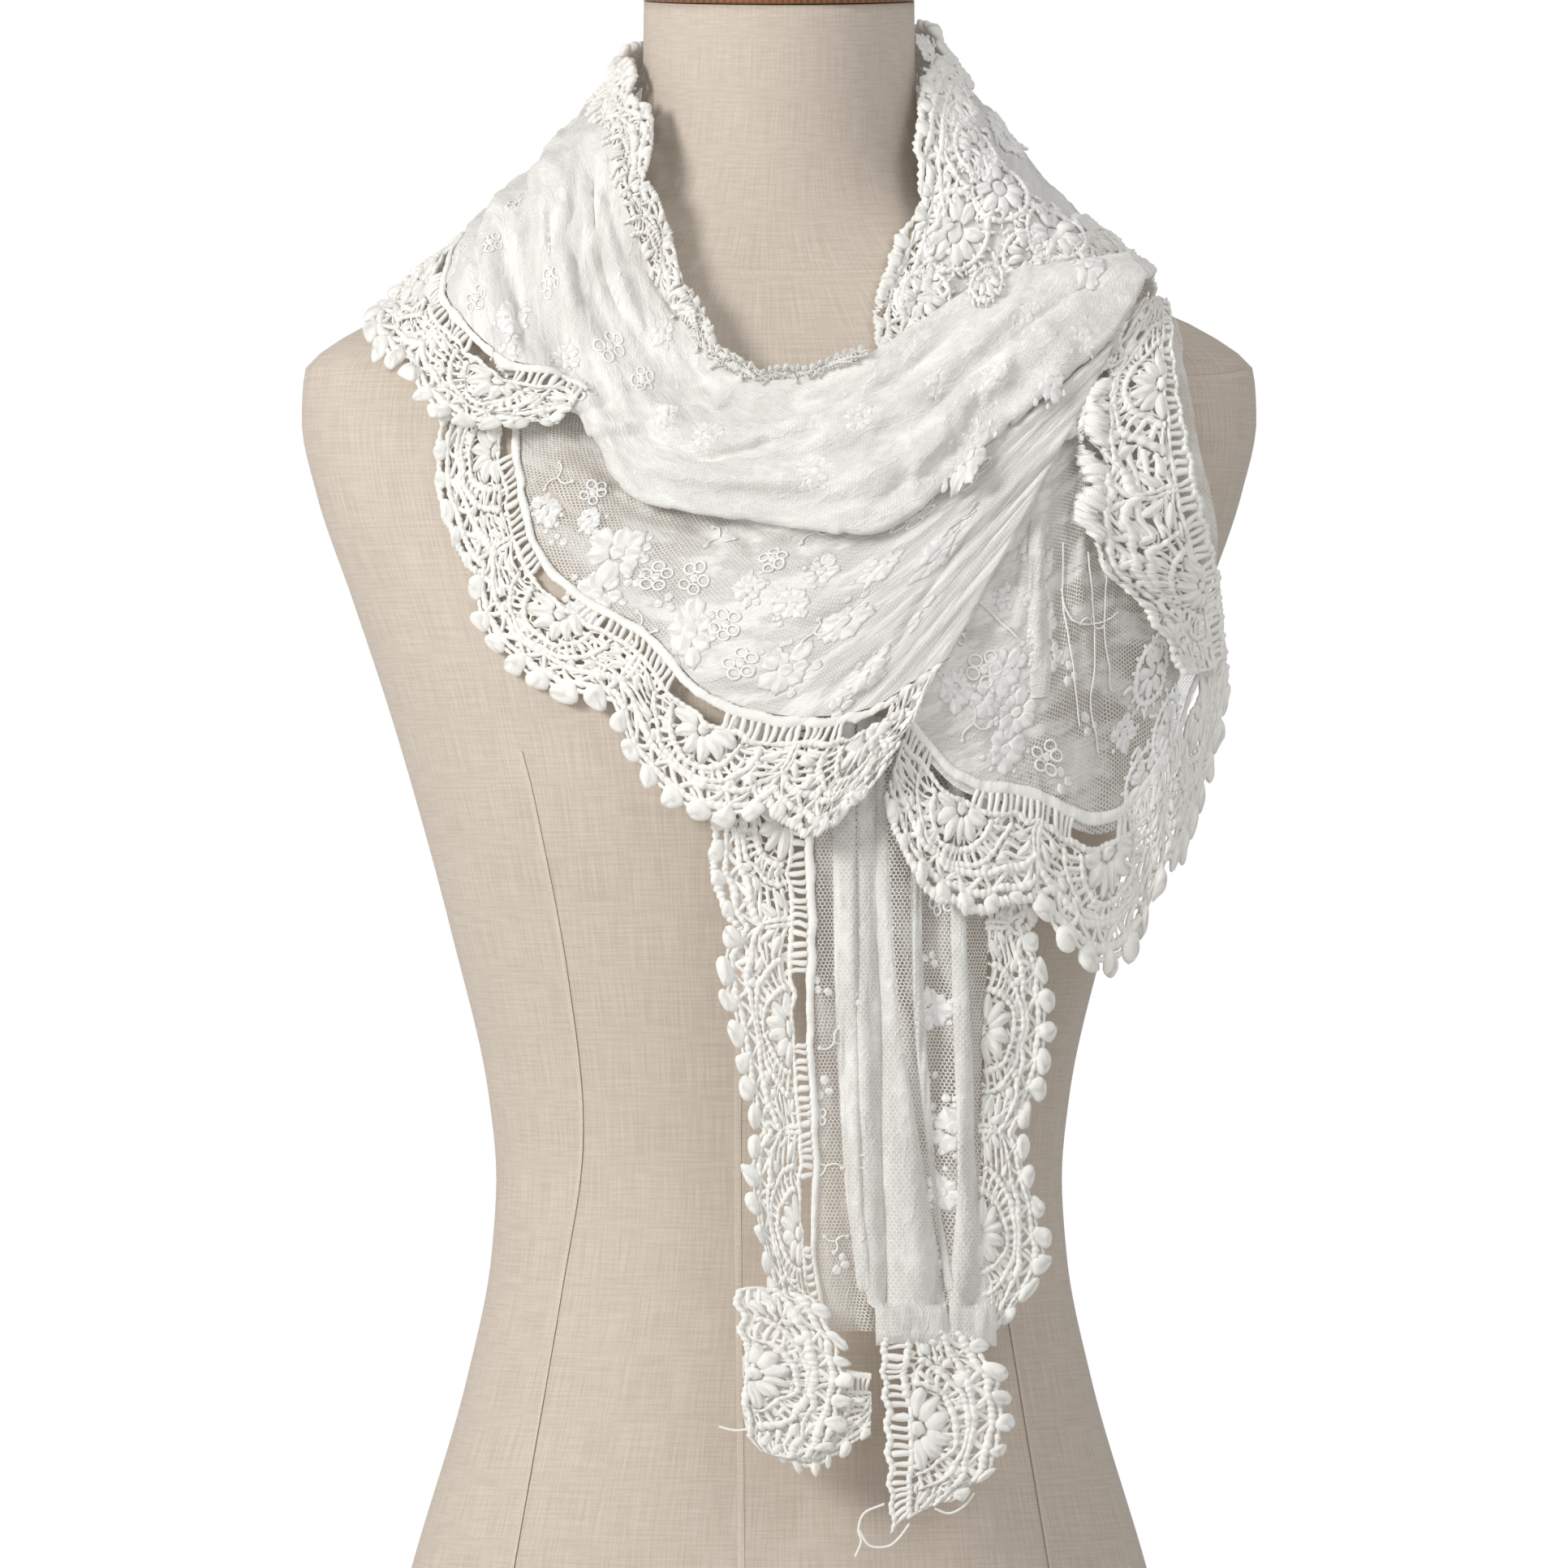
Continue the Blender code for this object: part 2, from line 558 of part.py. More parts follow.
def add_form():
    """The torso: rings joined by quads, with flat ends."""
    maker = bmesh.new()
    heights = set(RING_HEIGHTS)
    heights.add(BASE_ROUNDING)
    turns = np.arange(FORM_POINTS_ROUND) * 2 * math.pi / FORM_POINTS_ROUND
    tips = [ring.tip for ring in FORM_RINGS]
    rings = []
    for height in sorted(heights):
        half_width, front, back, power = form_ring(np.array(float(height)))
        inset = BASE_ROUNDING / 3 if height == 0 else 0
        tip = float(eased(RING_HEIGHTS, tips, height))
        ring = []
        for turn in turns:
            x = (half_width - inset) * math.copysign(abs(math.cos(turn)) ** (2 / power), math.cos(turn))
            depth = (front if math.sin(turn) < 0 else back) - inset
            y = depth * math.copysign(abs(math.sin(turn)) ** (2 / power), math.sin(turn))
            ring.append(maker.verts.new((x, y, height + tip * y)))
        rings.append(ring)
    for lower, upper in zip(rings, rings[1:]):
        for i in range(FORM_POINTS_ROUND):
            j = (i + 1) % FORM_POINTS_ROUND
            maker.faces.new([lower[i], lower[j], upper[j], upper[i]])
    maker.faces.new(rings[0][::-1])
    maker.faces.new(rings[-1])
    return add_object("dress_form", maker, LINEN_COLOUR, LINEN_ROUGHNESS)


def add_cap():
    """The wooden cap: a disc with a rounded rim, on the tipped plane of the neck's top."""
    top = FORM_RINGS[-1]
    profile = [(0.0, 0.0)]
    for i in range(CAP_EDGE_STEPS + 1):
        angle = math.pi / 2 * i / CAP_EDGE_STEPS
        rise = CAP_THICKNESS - CAP_EDGE_RADIUS + CAP_EDGE_RADIUS * math.sin(angle)
        profile.append((CAP_EDGE_RADIUS * (1 - math.cos(angle)), rise))
    profile.append((CAP_CROWN_INSET, CAP_THICKNESS + CAP_CROWN))
    maker = bmesh.new()
    rings = []
    for inset, rise in profile:
        ring = []
        for i in range(CAP_POINTS_ROUND):
            turn = 2 * math.pi * i / CAP_POINTS_ROUND
            x = (top.half_width + CAP_OVERHANG - inset) * math.cos(turn)
            depth = top.front if math.sin(turn) < 0 else top.back
            y = (depth + CAP_OVERHANG - inset) * math.sin(turn)
            ring.append(maker.verts.new((x, y, top.height + GAP + rise + top.tip * y)))
        rings.append(ring)
    for lower, upper in zip(rings, rings[1:]):
        for i in range(CAP_POINTS_ROUND):
            j = (i + 1) % CAP_POINTS_ROUND
            maker.faces.new([lower[i], lower[j], upper[j], upper[i]])
    maker.faces.new(rings[0][::-1])
    maker.faces.new(rings[-1])
    return add_object("neck_cap", maker, WOOD_COLOUR, WOOD_ROUGHNESS)


def add_neck_wrap():
    """The stretches round the neck: right front, back, left front and the swept cowl."""
    sheet = Sheet(NECK_SECTIONS, NECK_FOLDS)
    end, right, left, cowl, trim_end = (
        sheet.at[i] for i in (RIGHT_FRONT, RIGHT_RIDGE, LEFT_RIDGE, COWL_START, COWL_TRIM_END)
    )
    first, last = sheet.first_border, sheet.last_border
    net_wall("right_front_net", sheet, lace_columns(end, right)[0], RIGHT_FRONT_CELLS)
    lace_wall("right_front_neck_lace", sheet, end, right, first, False, NARROW_ROWS)
    lace_wall("right_front_outer_lace", sheet, end, right, last, True)
    net_wall("back_net", sheet, lace_columns(right, left)[0], BACK_CELLS)
    lace_wall("back_neck_lace", sheet, right, left, first, False, NARROW_ROWS)
    lace_wall("back_outer_lace", sheet, right, left, last, True)
    net_wall("left_front_net", sheet, lace_columns(left, cowl)[0], LEFT_FRONT_CELLS)
    lace_wall("left_front_neck_lace", sheet, left, cowl, first, False, NARROW_ROWS)
    lace_wall("left_front_outer_lace", sheet, left, cowl, last, True)
    free_places = np.linspace(trim_end, sheet.length - GAP / 2, COWL_FREE_CELLS + 1)[1:]
    net_wall("cowl_net", sheet, np.append(lace_columns(cowl, trim_end)[0], free_places), COWL_CELLS)
    lace_wall("cowl_neck_lace", sheet, cowl, trim_end, first, False, TRIM_ROWS)


def add_bib():
    sheet = Sheet(BIB_SECTIONS, BIB_FOLDS)
    net_wall("bib_net", sheet, lace_columns(0, sheet.length)[0], BIB_CELLS)
    lace_wall("bib_lace", sheet, 0, sheet.length, sheet.last_border, True)


def add_drop():
    sheet = Sheet(DROP_SECTIONS, DROP_FOLDS)
    net_wall("drop_net", sheet, lace_columns(0, sheet.length)[0], DROP_CELLS)
    lace_wall("drop_lace", sheet, 0, sheet.length, sheet.last_border, True)
    strip = Patch(sheet, SIDE_STRIP_ROWS, SIDE_STRIP_LIFT)
    lace_wall("drop_side_lace", strip, 0, strip.length, strip.width * WHOLE, False, cord=0)


def add_tail():
    sheet = Sheet(TAIL_SECTIONS, TAIL_FOLDS)
    net_wall("tail_net", sheet, lace_columns(0, sheet.length)[0][::2], TAIL_CELLS)
    lace_wall("tail_left_lace", sheet, 0, sheet.length, sheet.first_border, False)
    lace_wall("tail_right_lace", sheet, 0, sheet.length, sheet.last_border, True)
    for name, sections in (("left", END_LEFT_SECTIONS), ("right", END_RIGHT_SECTIONS)):
        lap = Sheet(sections)
        lace_wall(f"tail_end_{name}_lace", lap, 0, lap.length, lap.width * WHOLE, name == "right")


add_form()
add_cap()
add_neck_wrap()
add_bib()
add_drop()
add_tail()
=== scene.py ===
import math
from collections import namedtuple

import bmesh
import bpy
import numpy as np
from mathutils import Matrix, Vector


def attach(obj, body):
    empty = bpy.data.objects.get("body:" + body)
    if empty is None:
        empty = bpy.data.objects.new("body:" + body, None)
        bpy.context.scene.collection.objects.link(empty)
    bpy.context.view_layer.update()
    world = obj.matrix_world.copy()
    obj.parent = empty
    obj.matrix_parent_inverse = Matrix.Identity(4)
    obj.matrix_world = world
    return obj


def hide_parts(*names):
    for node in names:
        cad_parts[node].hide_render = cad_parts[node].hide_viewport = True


# Lace shawl on a linen dress form. Lengths are in millimetres until a mesh is made.
# +X is the viewer's right, the chest faces -Y, +Z is up.

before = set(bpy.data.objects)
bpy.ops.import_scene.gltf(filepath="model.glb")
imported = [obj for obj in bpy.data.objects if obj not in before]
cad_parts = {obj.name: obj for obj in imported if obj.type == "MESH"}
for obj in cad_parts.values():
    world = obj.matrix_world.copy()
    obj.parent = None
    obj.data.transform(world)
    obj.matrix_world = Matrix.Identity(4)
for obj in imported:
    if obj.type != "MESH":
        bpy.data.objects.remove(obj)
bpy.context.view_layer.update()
print("frame loaded")

mm = 0.001

# The dress form, a horizontal ring in each row: height, half width, depth to the front and to the back of
# its axis, how square the ring is, and how far the ring's plane tips forward.
Ring = namedtuple("Ring", "height halfWidth front back squareness tip")
formRings = [Ring(*row) for row in (
    (0, 160, 100, 112, 2.3, 0), (40, 162, 102, 117, 2.3, 0), (90, 149, 100, 115, 2.3, 0),
    (165, 127, 92, 99, 2.25, 0), (215, 117, 87, 87, 2.2, 0), (247, 115, 86, 83, 2.2, 0),
    (280, 118, 91, 85, 2.2, 0), (346, 133, 107, 94, 2.3, 0), (409, 150, 121, 102, 2.35, 0),
    (442, 160, 122, 104, 2.4, 0), (481, 173, 112, 104, 2.5, 0), (525, 188, 97, 100, 2.6, 0),
    (555, 194, 86, 93, 2.6, 0), (574, 193, 79, 87, 2.55, 0), (589, 176, 71, 82, 2.5, 0),
    (602, 148, 65, 77, 2.4, 0), (616, 114, 60, 73, 2.2, 0), (632, 83, 57, 69, 2.1, 0),
    (648, 66, 56, 65, 2.0, 0), (668, 58, 56, 62, 2.0, 0.02), (694, 55.5, 57, 58, 2.0, 0.05),
    (722, 55, 58, 57, 2.0, 0.08),
)]
baseRounding = 6.0

# The wooden cap on the neck.
capThickness = 20.0
capOverhang = 1.5
capEdgeRadius = 6.0
capCrown, capCrownInset = 3.0, 25.0

# Where the cloth hangs free below the bust it keeps the bust's depth instead of following the waist in.
Hang = namedtuple("Hang", "height halfWidth front back")
hangRows = [Hang(*row) for row in (
    (0, 165, 108, 118), (105, 160, 112, 118), (247, 158, 118, 112), (346, 160, 121, 108), (409, 161, 122, 105),
)]
hangTop, hangBlend, hangSoftness = 480.0, 110.0, 2.0

# The gap that parts the cap from the neck.
gap = 0.5

# How deep a scallop's dip is, as a share of the border's width, and how full its curve is.
scallopDepth, scallopFullness = 0.24, 0.7
whole = 0.999  # the share of a sheet that a border over all of it takes

# How far from a point the slope of a sheet is measured, and the slope of the body below it.
normalReach = 2.0
bodyReach = 0.5

# Cloth is seated on the body in a few passes. It moves along Y where the body's normal has at least the
# second share of Y, and straight out where it has less than the first.
seatingPasses = 6
sideShare, faceShare = 0.3, 0.7
leastLean = 0.35

# A fold fades out over one part in this many of its length at each end. One that goes less than the second
# size along its sheet is taken as running across it.
foldFade = 5.0
crosswiseFold = 30.0

# How finely a sheet is searched for a place that is seen from the front.
searchSteps = 60


def joined(knots, values, tangents, at):
    # The smooth curve through the values at the knots with the given tangents, read at the given places.
    at = np.clip(at, knots[0], knots[-1])
    i = np.clip(np.searchsorted(knots, at, side="right") - 1, 0, len(knots) - 2)
    step = knots[i + 1] - knots[i]
    t = (at - knots[i]) / step
    start = values[i] * (1 + 2 * t) * (1 - t) ** 2 + tangents[i] * step * t * (1 - t) ** 2
    end = values[i + 1] * t * t * (3 - 2 * t) + tangents[i + 1] * step * t * t * (t - 1)
    return start + end


def eased(knots, values, at):
    # Values at the knots joined by a smooth curve that doesn't overshoot them.
    knots, values = np.asarray(knots, float), np.asarray(values, float)
    if values.ndim > 1:
        return np.stack([eased(knots, column, at) for column in values.T], axis=-1)
    slope = np.diff(values) / np.diff(knots)
    before, after = slope[:-1], slope[1:]
    sameWay = before * after > 0
    middle = np.where(sameWay, 2 * before * after / np.where(sameWay, before + after, 1), 0)
    return joined(knots, values, np.concatenate([slope[:1], middle, slope[-1:]]), at)


def flowing(knots, values, at):
    # Values at the knots joined by a curve that runs through them as a bent spline would.
    knots, values = np.asarray(knots, float), np.asarray(values, float)
    if values.ndim > 1:
        return np.stack([flowing(knots, column, at) for column in values.T], axis=-1)
    step = np.diff(knots)
    slope = np.diff(values) / step
    middle = (slope[:-1] * step[1:] + slope[1:] * step[:-1]) / (step[:-1] + step[1:])
    return joined(knots, values, np.concatenate([slope[:1], middle, slope[-1:]]), at)


def unit(vectors):
    # The vectors made one long.
    return vectors / np.maximum(np.linalg.norm(vectors, axis=-1), 1e-9)[..., None]


def turnedTo(normals, away):
    # The normals, each on the side that the other direction points to.
    return normals * np.where((normals * away).sum(-1) < 0, -1, 1)[..., None]


def runOf(points):
    # How far along a line of points each of them is.
    return np.concatenate([[0], np.cumsum(np.linalg.norm(np.diff(points, axis=0), axis=1))])


def through(points, count):
    # A smooth curve through the points, read at an even count of places.
    points = np.array(points, float)
    knots = np.arange(len(points))
    return flowing(knots, points, np.linspace(0, knots[-1], count))


def ray(angle):
    # The flat direction at an angle.
    return np.array([math.cos(angle), math.sin(angle)])


ringHeights = [ring.height for ring in formRings]
hangHeights = [row.height for row in hangRows]


def formRing(height):
    # Half width, front, back and squareness of the form at a height.
    columns = [(r.halfWidth, r.front, r.back, r.squareness) for r in formRings]
    return eased(ringHeights, columns, height)


def drapeRing(height):
    # The same for the body that the cloth lies on, which is the form with its waist softly filled.
    ring = np.array(formRing(height))
    hang = eased(hangHeights, [row[1:] for row in hangRows], height)
    t = np.clip((hangTop - height) / hangBlend, 0, 1)
    share = t * t * (3 - 2 * t)
    for i in range(3):
        extra = hang[..., i] - ring[..., i]
        ring[..., i] += share * 0.5 * (extra + np.sqrt(extra**2 + hangSoftness**2))
    return ring


def level(points):
    # How far outside the drape body a point is, as a share of the body's size there.
    ring = drapeRing(points[..., 2])
    depth = np.where(points[..., 1] < 0, ring[..., 1], ring[..., 2])
    power = ring[..., 3]
    across = np.abs(points[..., 0]) / ring[..., 0]
    deep = np.abs(points[..., 1]) / depth
    return (across**power + deep**power) ** (1 / power) - 1


def outward(points):
    # The direction away from the drape body at each point, and the distance to it.
    slope = np.empty_like(points)
    for axis in range(3):
        step = np.zeros(3)
        step[axis] = bodyReach
        slope[..., axis] = (level(points + step) - level(points - step)) / (2 * bodyReach)
    size = np.maximum(np.linalg.norm(slope, axis=-1), 1e-6)
    return slope / size[..., None], level(points) / size


def seated(points, lift):
    # The points moved out until each is at least its lift clear of the drape body. Where the body faces the
    # front or the back they move along Y, so that the cloth keeps its outline from the front.
    points = np.array(points, float)
    for _ in range(seatingPasses):
        normal, distance = outward(points)
        ahead = np.clip((np.abs(normal[..., 1]) - sideShare) / (faceShare - sideShare), 0, 1)
        way = unit(normal * np.stack([1 - ahead, np.ones_like(ahead), 1 - ahead], axis=-1))
        short = np.maximum(lift - distance, 0)
        points += way * (short / np.maximum((way * normal).sum(-1), leastLean))[..., None]
    return points


def onFront(x, z):
    # The point on the front of the drape body that is seen at x, z.
    halfWidth, front, _, power = drapeRing(np.array(float(z)))
    share = min(abs(x) / halfWidth, 1.0)
    return (x, -front * (1 - share**power) ** (1 / power), z)


# A section runs across a sheet of cloth, from one long edge to the other, through a middle point. lift is
# how far the sheet lies off the body. firstBorder and lastBorder are how wide the crochet borders are at
# the two edges.
Section = namedtuple("Section", "first middle last lift firstBorder lastBorder")


def sectionRows(*rows):
    # Sections by their rows, where a point of two numbers is x, z on the body's front.
    return [Section(*(p if len(p) > 2 else onFront(*p) for p in row[:3]), *row[3:]) for row in rows]


# A fold is a soft ridge from one place on a sheet to another: each place is (share of the sheet's length,
# share of its width).
Fold = namedtuple("Fold", "start end height halfWidth")

# From the hidden front end on the right, round the back of the neck, over the left shoulder and across the
# chest to the right shoulder. The first edge is the one at the neck.
neckSections = sectionRows(
    ((30, 583), (70, 573), (112, 566), 1.2, 26, 40), ((42, 618), (84, 604), (134, 588), 1.2, 26, 40),
    ((51, -40, 664), (98, -44, 636), (146, -30, 606), 1.2, 27, 42),
    ((58, 4, 711), (104, 4, 656), (156, 6, 609), 1.2, 28, 44),
    ((44, 48, 712), (92, 62, 646), (132, 79, 560), 1.2, 28, 44),
    ((0, 66, 708), (0, 84, 630), (0, 104, 520), 1.2, 28, 46),
    ((-44, 48, 708), (-92, 62, 645), (-132, 79, 558), 1.2, 28, 44),
    ((-57, 4, 706), (-103, 4, 652), (-156, 6, 605), 2.0, 28, 40),
    ((-50, -44, 678), (-102, -52, 630), (-160, 568), 6.0, 27, 38),
    ((-46, -62, 644), (-88, -66, 598), (-128, 549), 9.0, 25, 34),
    ((-36, 610), (-66, 575), (-92, 545), 9.5, 22, 28), ((-18, 580), (-40, 552), (-55, 523), 11.0, 12, 0),
    ((8, 575), (2, 545), (-4, 514), 14.0, 8, 0), ((35, 582), (38, 551), (38, 510), 18.0, 6, 0),
    ((76, -72, 605), (80, 579), (86, 548), 18.0, 0, 0),
    ((106, -66, 616), (113, -66, 601), (122, 578), 18.0, 0, 0),
    ((137, -46, 616), (140, -48, 609), (144, -54, 599), 18.0, 0, 0),
)
neckPartings = [0, 3, 7, 10, 13]  # right front, right ridge, left ridge, start of the roll, end of its border
neckFolds = [Fold(*row) for row in (
    ((0.50, 0.28), (0.72, 0.52), 4.0, 11.0), ((0.51, 0.46), (0.77, 0.84), 4.5, 12.0),
    ((0.52, 0.64), (0.68, 0.72), 3.5, 10.0), ((0.66, 0.88), (1.04, 0.66), 4.0, 12.0),
    ((0.68, 0.58), (1.05, 0.36), 3.5, 12.0), ((0.22, 0.42), (0.49, 0.40), 4.0, 16.0),
    ((0.18, 0.64), (0.50, 0.62), 3.5, 14.0),
)]

# The bib that shows below the swept stretch. The first edge is hidden under it.
bibSections = sectionRows(
    ((-82, 572), (-110, 572), (-139, 571), 0.8, 0, 38), ((-70, 562), (-106, 550), (-139, 535), 0.8, 0, 40),
    ((-58, 556), (-98, 530), (-133, 502), 0.8, 0, 42), ((-42, 548), (-86, 511), (-126, 473), 0.8, 0, 44),
    ((-26, 542), (-66, 494), (-103, 449), 0.8, 0, 45), ((-6, 537), (-42, 484), (-76, 430), 1.6, 0, 46),
    ((18, 536), (-16, 470), (-50, 401), 6.0, 0, 48), ((48, 541), (14, 466), (-20, 386), 9.0, 0, 52),
    ((86, 561), (50, 480), (5, 382), 12.0, 0, 53), ((141, -50, 598), (106, 530), (34, 398), 14.5, 0, 46),
)
bibFolds = [Fold(*row) for row in (
    ((0.20, 0.12), (1.10, 0.20), 3.0, 12.0), ((0.35, 0.36), (1.15, 0.44), 2.4, 12.0),
)]

# The end that falls from the right shoulder. The first edge is at the shoulder.
dropSections = sectionRows(
    ((96, 560), (66, 480), (38, 388), 7.0, 0, 46), ((112, 575), (88, 475), (58, 361), 7.0, 0, 50),
    ((126, 586), (110, 480), (92, 347), 7.0, 0, 52), ((136, 594), (132, 480), (131, 330), 7.0, 0, 56),
    ((144, -46, 598), (150, 490), (152, -72, 352), 7.0, 0, 54),
    ((151, -45, 601), (162, 505), (167, -54, 394), 7.0, 0, 50),
    ((157, -43, 602), (172, -53, 520), (180, -32, 436), 7.0, 0, 46),
)
dropFolds = [Fold(*row) for row in (
    ((0.22, 0.05), (0.18, 0.60), 2.0, 9.0), ((0.38, 0.05), (0.38, 0.62), 2.0, 10.0),
)]

# A place on a sheet, as it is seen from the front.
Seen = namedtuple("Seen", "x z")

# The strip of border that lies over the drop, down its right side. The first edge is the left one.
SideStrip = namedtuple("SideStrip", "first last")
sideStripLift = 4.6
sideStripRows = [SideStrip(Seen(*first), Seen(*last)) for first, last in (
    ((137, 594), (154, 599)), ((119, 562), (159, 566)), ((106, 526), (166, 530)),
    ((119, 502), (171, 506)), ((137, 482), (174, 482)), ((147, 455), (176, 458)),
)]

# The tail, from its hidden top down. The first edge is the left one.
tailSections = sectionRows(
    ((-26, 436), (40, 434), (103, 432), 0.1, 42, 26), ((-29, 390), (40, 390), (106, 388), 0.8, 43, 26),
    ((-31, 345), (40, 346), (108, 344), 0.8, 46, 26), ((-18, 300), (42, 302), (109, 300), 0.8, 36, 26),
    ((-17, 256), (42, 256), (103, 254), 0.8, 35, 22), ((-7, 216), (44, 216), (108, 214), 0.8, 28, 26),
    ((-5, 189), (44, 189), (93, 189), 0.8, 26, 14),
)
tailFolds = [Fold(*row) for row in (
    ((-0.30, 0.42), (1.30, 0.42), 2.2, 6.0), ((-0.30, 0.55), (1.30, 0.59), 3.6, 11.0),
    ((-0.30, 0.73), (1.30, 0.74), 2.6, 7.0),
)]

# The two laps of border at the tail's end, seen from the front, each from its top down.
endLeftSections = sectionRows(
    ((-18, 206), (10, 204), (37, 188), 4.4, 0, 0), ((-15, 180), (12, 176), (37, 172), 4.4, 0, 0),
    ((-14, 152), (12, 150), (37, 154), 4.4, 0, 0), ((-4, 136), (14, 131), (37, 141), 4.4, 0, 0),
)
endRightSections = sectionRows(
    ((38, 201), (64, 201), (93, 199), 6.0, 0, 0), ((39, 165), (66, 165), (95, 163), 6.0, 0, 0),
    ((41, 130), (66, 132), (91, 136), 6.0, 0, 0), ((43, 106), (62, 120), (78, 114), 6.0, 0, 0),
)


class Sheet:
    # A sheet of cloth lofted through its sections. Places on it are s, in millimetres along it, and v, the
    # share of the way from its first edge to its last.

    def __init__(self, sections, folds=()):
        self.first, self.middle, self.last = (
            np.array([section[i] for section in sections], float) for i in range(3)
        )
        self.lift = np.array([section.lift for section in sections], float)
        self.firstBorder = np.array([section.firstBorder for section in sections], float)
        self.lastBorder = np.array([section.lastBorder for section in sections], float)
        travel = np.linalg.norm(np.diff(self.middle, axis=0), axis=1)
        outerTravel = np.linalg.norm(np.diff(self.last, axis=0), axis=1)
        self.at = np.concatenate([[0], np.cumsum((travel + outerTravel) / 2)])
        self.width = np.linalg.norm(self.middle - self.first, axis=1)
        self.width += np.linalg.norm(self.last - self.middle, axis=1)
        self.length = float(self.at[-1])
        self.folds = folds

    def borderShare(self, s, border):
        return flowing(self.at, border / self.width, s)

    def foldHeight(self, s, v):
        # How far the folds stand proud of the sheet at s, v.
        width = eased(self.at, self.width, s)
        raised = np.zeros(np.broadcast(s, v).shape)
        for fold in self.folds:
            start, end = fold.start[0] * self.length, fold.end[0] * self.length
            along = end - start
            if abs(along) > crosswiseFold:
                t = (s - start) / along
                away = (v - fold.start[1] - (fold.end[1] - fold.start[1]) * np.clip(t, 0, 1)) * width
            else:
                t = (v - fold.start[1]) / (fold.end[1] - fold.start[1])
                away = s - start - along * np.clip(t, 0, 1)
            fade = np.clip(np.minimum(t, 1 - t) * foldFade, 0, 1)
            share = np.clip(np.abs(away) / fold.halfWidth, 0, 1)
            bump = 0.5 + 0.5 * np.cos(np.pi * share)
            raised = np.maximum(raised, fold.height * fade * bump)
        return raised

    def points(self, s, v):
        # Points of the sheet's inner face.
        first, middle, last = (
            flowing(self.at, rail, s) for rail in (self.first, self.middle, self.last)
        )
        w = np.asarray(v)[..., None]
        flat = first * (1 - w) * (1 - 2 * w) + middle * 4 * w * (1 - w) + last * w * (2 * w - 1)
        placed = seated(flat, eased(self.at, self.lift, s))
        normal, _ = outward(placed)
        return placed + normal * self.foldHeight(s, v)[..., None]

    def placeSeen(self, seen):
        # The place s, v that is seen from the front at x, z.
        steps = np.linspace(0, 1, searchSteps)
        s, v = (grid.ravel() for grid in np.meshgrid(steps * self.length, steps))
        target = np.array([seen.x, seen.z], float)
        off = np.linalg.norm(self.points(s, v)[:, ::2] - target, axis=1)
        return s[off.argmin()], v[off.argmin()]

    def normals(self, s, v):
        # Unit normals of the sheet at s, v, turned away from the body.
        vReach = normalReach / eased(self.at, self.width, s)
        along = self.points(np.minimum(s + normalReach, self.length), v)
        along -= self.points(np.maximum(s - normalReach, 0), v)
        across = self.points(s, np.minimum(v + vReach, 1)) - self.points(s, np.maximum(v - vReach, 0))
        return turnedTo(unit(np.cross(along, across)), outward(self.points(s, v))[0])


class Patch:
    # A sheet that lies on another: its places are those of the sheet below, moved out by its lift.

    def __init__(self, below, rows, lift):
        self.below, self.lift = below, lift
        self.first = np.array([below.placeSeen(row.first) for row in rows])
        self.last = np.array([below.placeSeen(row.last) for row in rows])
        ends = [below.points(rail[:, 0], rail[:, 1]) for rail in (self.first, self.last)]
        travel = [np.linalg.norm(np.diff(rail, axis=0), axis=1) for rail in ends]
        self.at = np.concatenate([[0], np.cumsum((travel[0] + travel[1]) / 2)])
        self.width = np.linalg.norm(ends[1] - ends[0], axis=1)
        self.length = float(self.at[-1])

    def borderShare(self, s, border):
        return flowing(self.at, border / self.width, s)

    def placeBelow(self, s, v):
        w = np.asarray(v)[..., None]
        place = eased(self.at, self.first, s) * (1 - w) + eased(self.at, self.last, s) * w
        return place[..., 0], place[..., 1]

    def points(self, s, v):
        place = self.placeBelow(s, v)
        return self.below.points(*place) + self.below.normals(*place) * self.lift

    def normals(self, s, v):
        return self.below.normals(*self.placeBelow(s, v))


def rise(sheet, creases, s, v):
    # soft ridges (height above 0) and troughs (below 0), added together
    width = eased(sheet.at, sheet.width, s)
    total = np.zeros(np.broadcast(s, v).shape)
    for crease in creases:
        start, end = crease.start[0] * sheet.length, crease.end[0] * sheet.length
        dx, dy = end - start, (crease.end[1] - crease.start[1]) * width
        px, py = s - start, (v - crease.start[1]) * width
        size = np.maximum(np.hypot(dx, dy), 1e-6)
        t = (px * dx + py * dy) / size**2
        away = np.abs(px * dy - py * dx) / size
        fade = np.clip(np.minimum(t, 1 - t) * 4, 0, 1)
        share = np.clip(away / crease.halfWidth, 0, 1)
        total += crease.height * fade * fade * (3 - 2 * fade) * (0.5 + 0.5 * np.cos(np.pi * share))
    return total


noiseSize = 64  # after how many units the uneven waves come again


def softNoise(x, y, seed):
    # smooth uneven waves between -1 and 1, one bump for each unit of x and y
    table = np.random.default_rng(seed).uniform(-1, 1, (noiseSize, noiseSize))
    i, j = np.floor(x).astype(int), np.floor(y).astype(int)
    a, b = x - i, y - j
    a, b = a * a * (3 - 2 * a), b * b * (3 - 2 * b)

    def corner(di, dj):
        return table[(i + di) % noiseSize, (j + dj) % noiseSize]

    low = corner(0, 0) * (1 - a) + corner(1, 0) * a
    high = corner(0, 1) * (1 - a) + corner(1, 1) * a
    return low * (1 - b) + high * b


frontLimit, sameSpot, farOff = 12, 1.5, 1000  # y of the last point seen from the front, reach, never


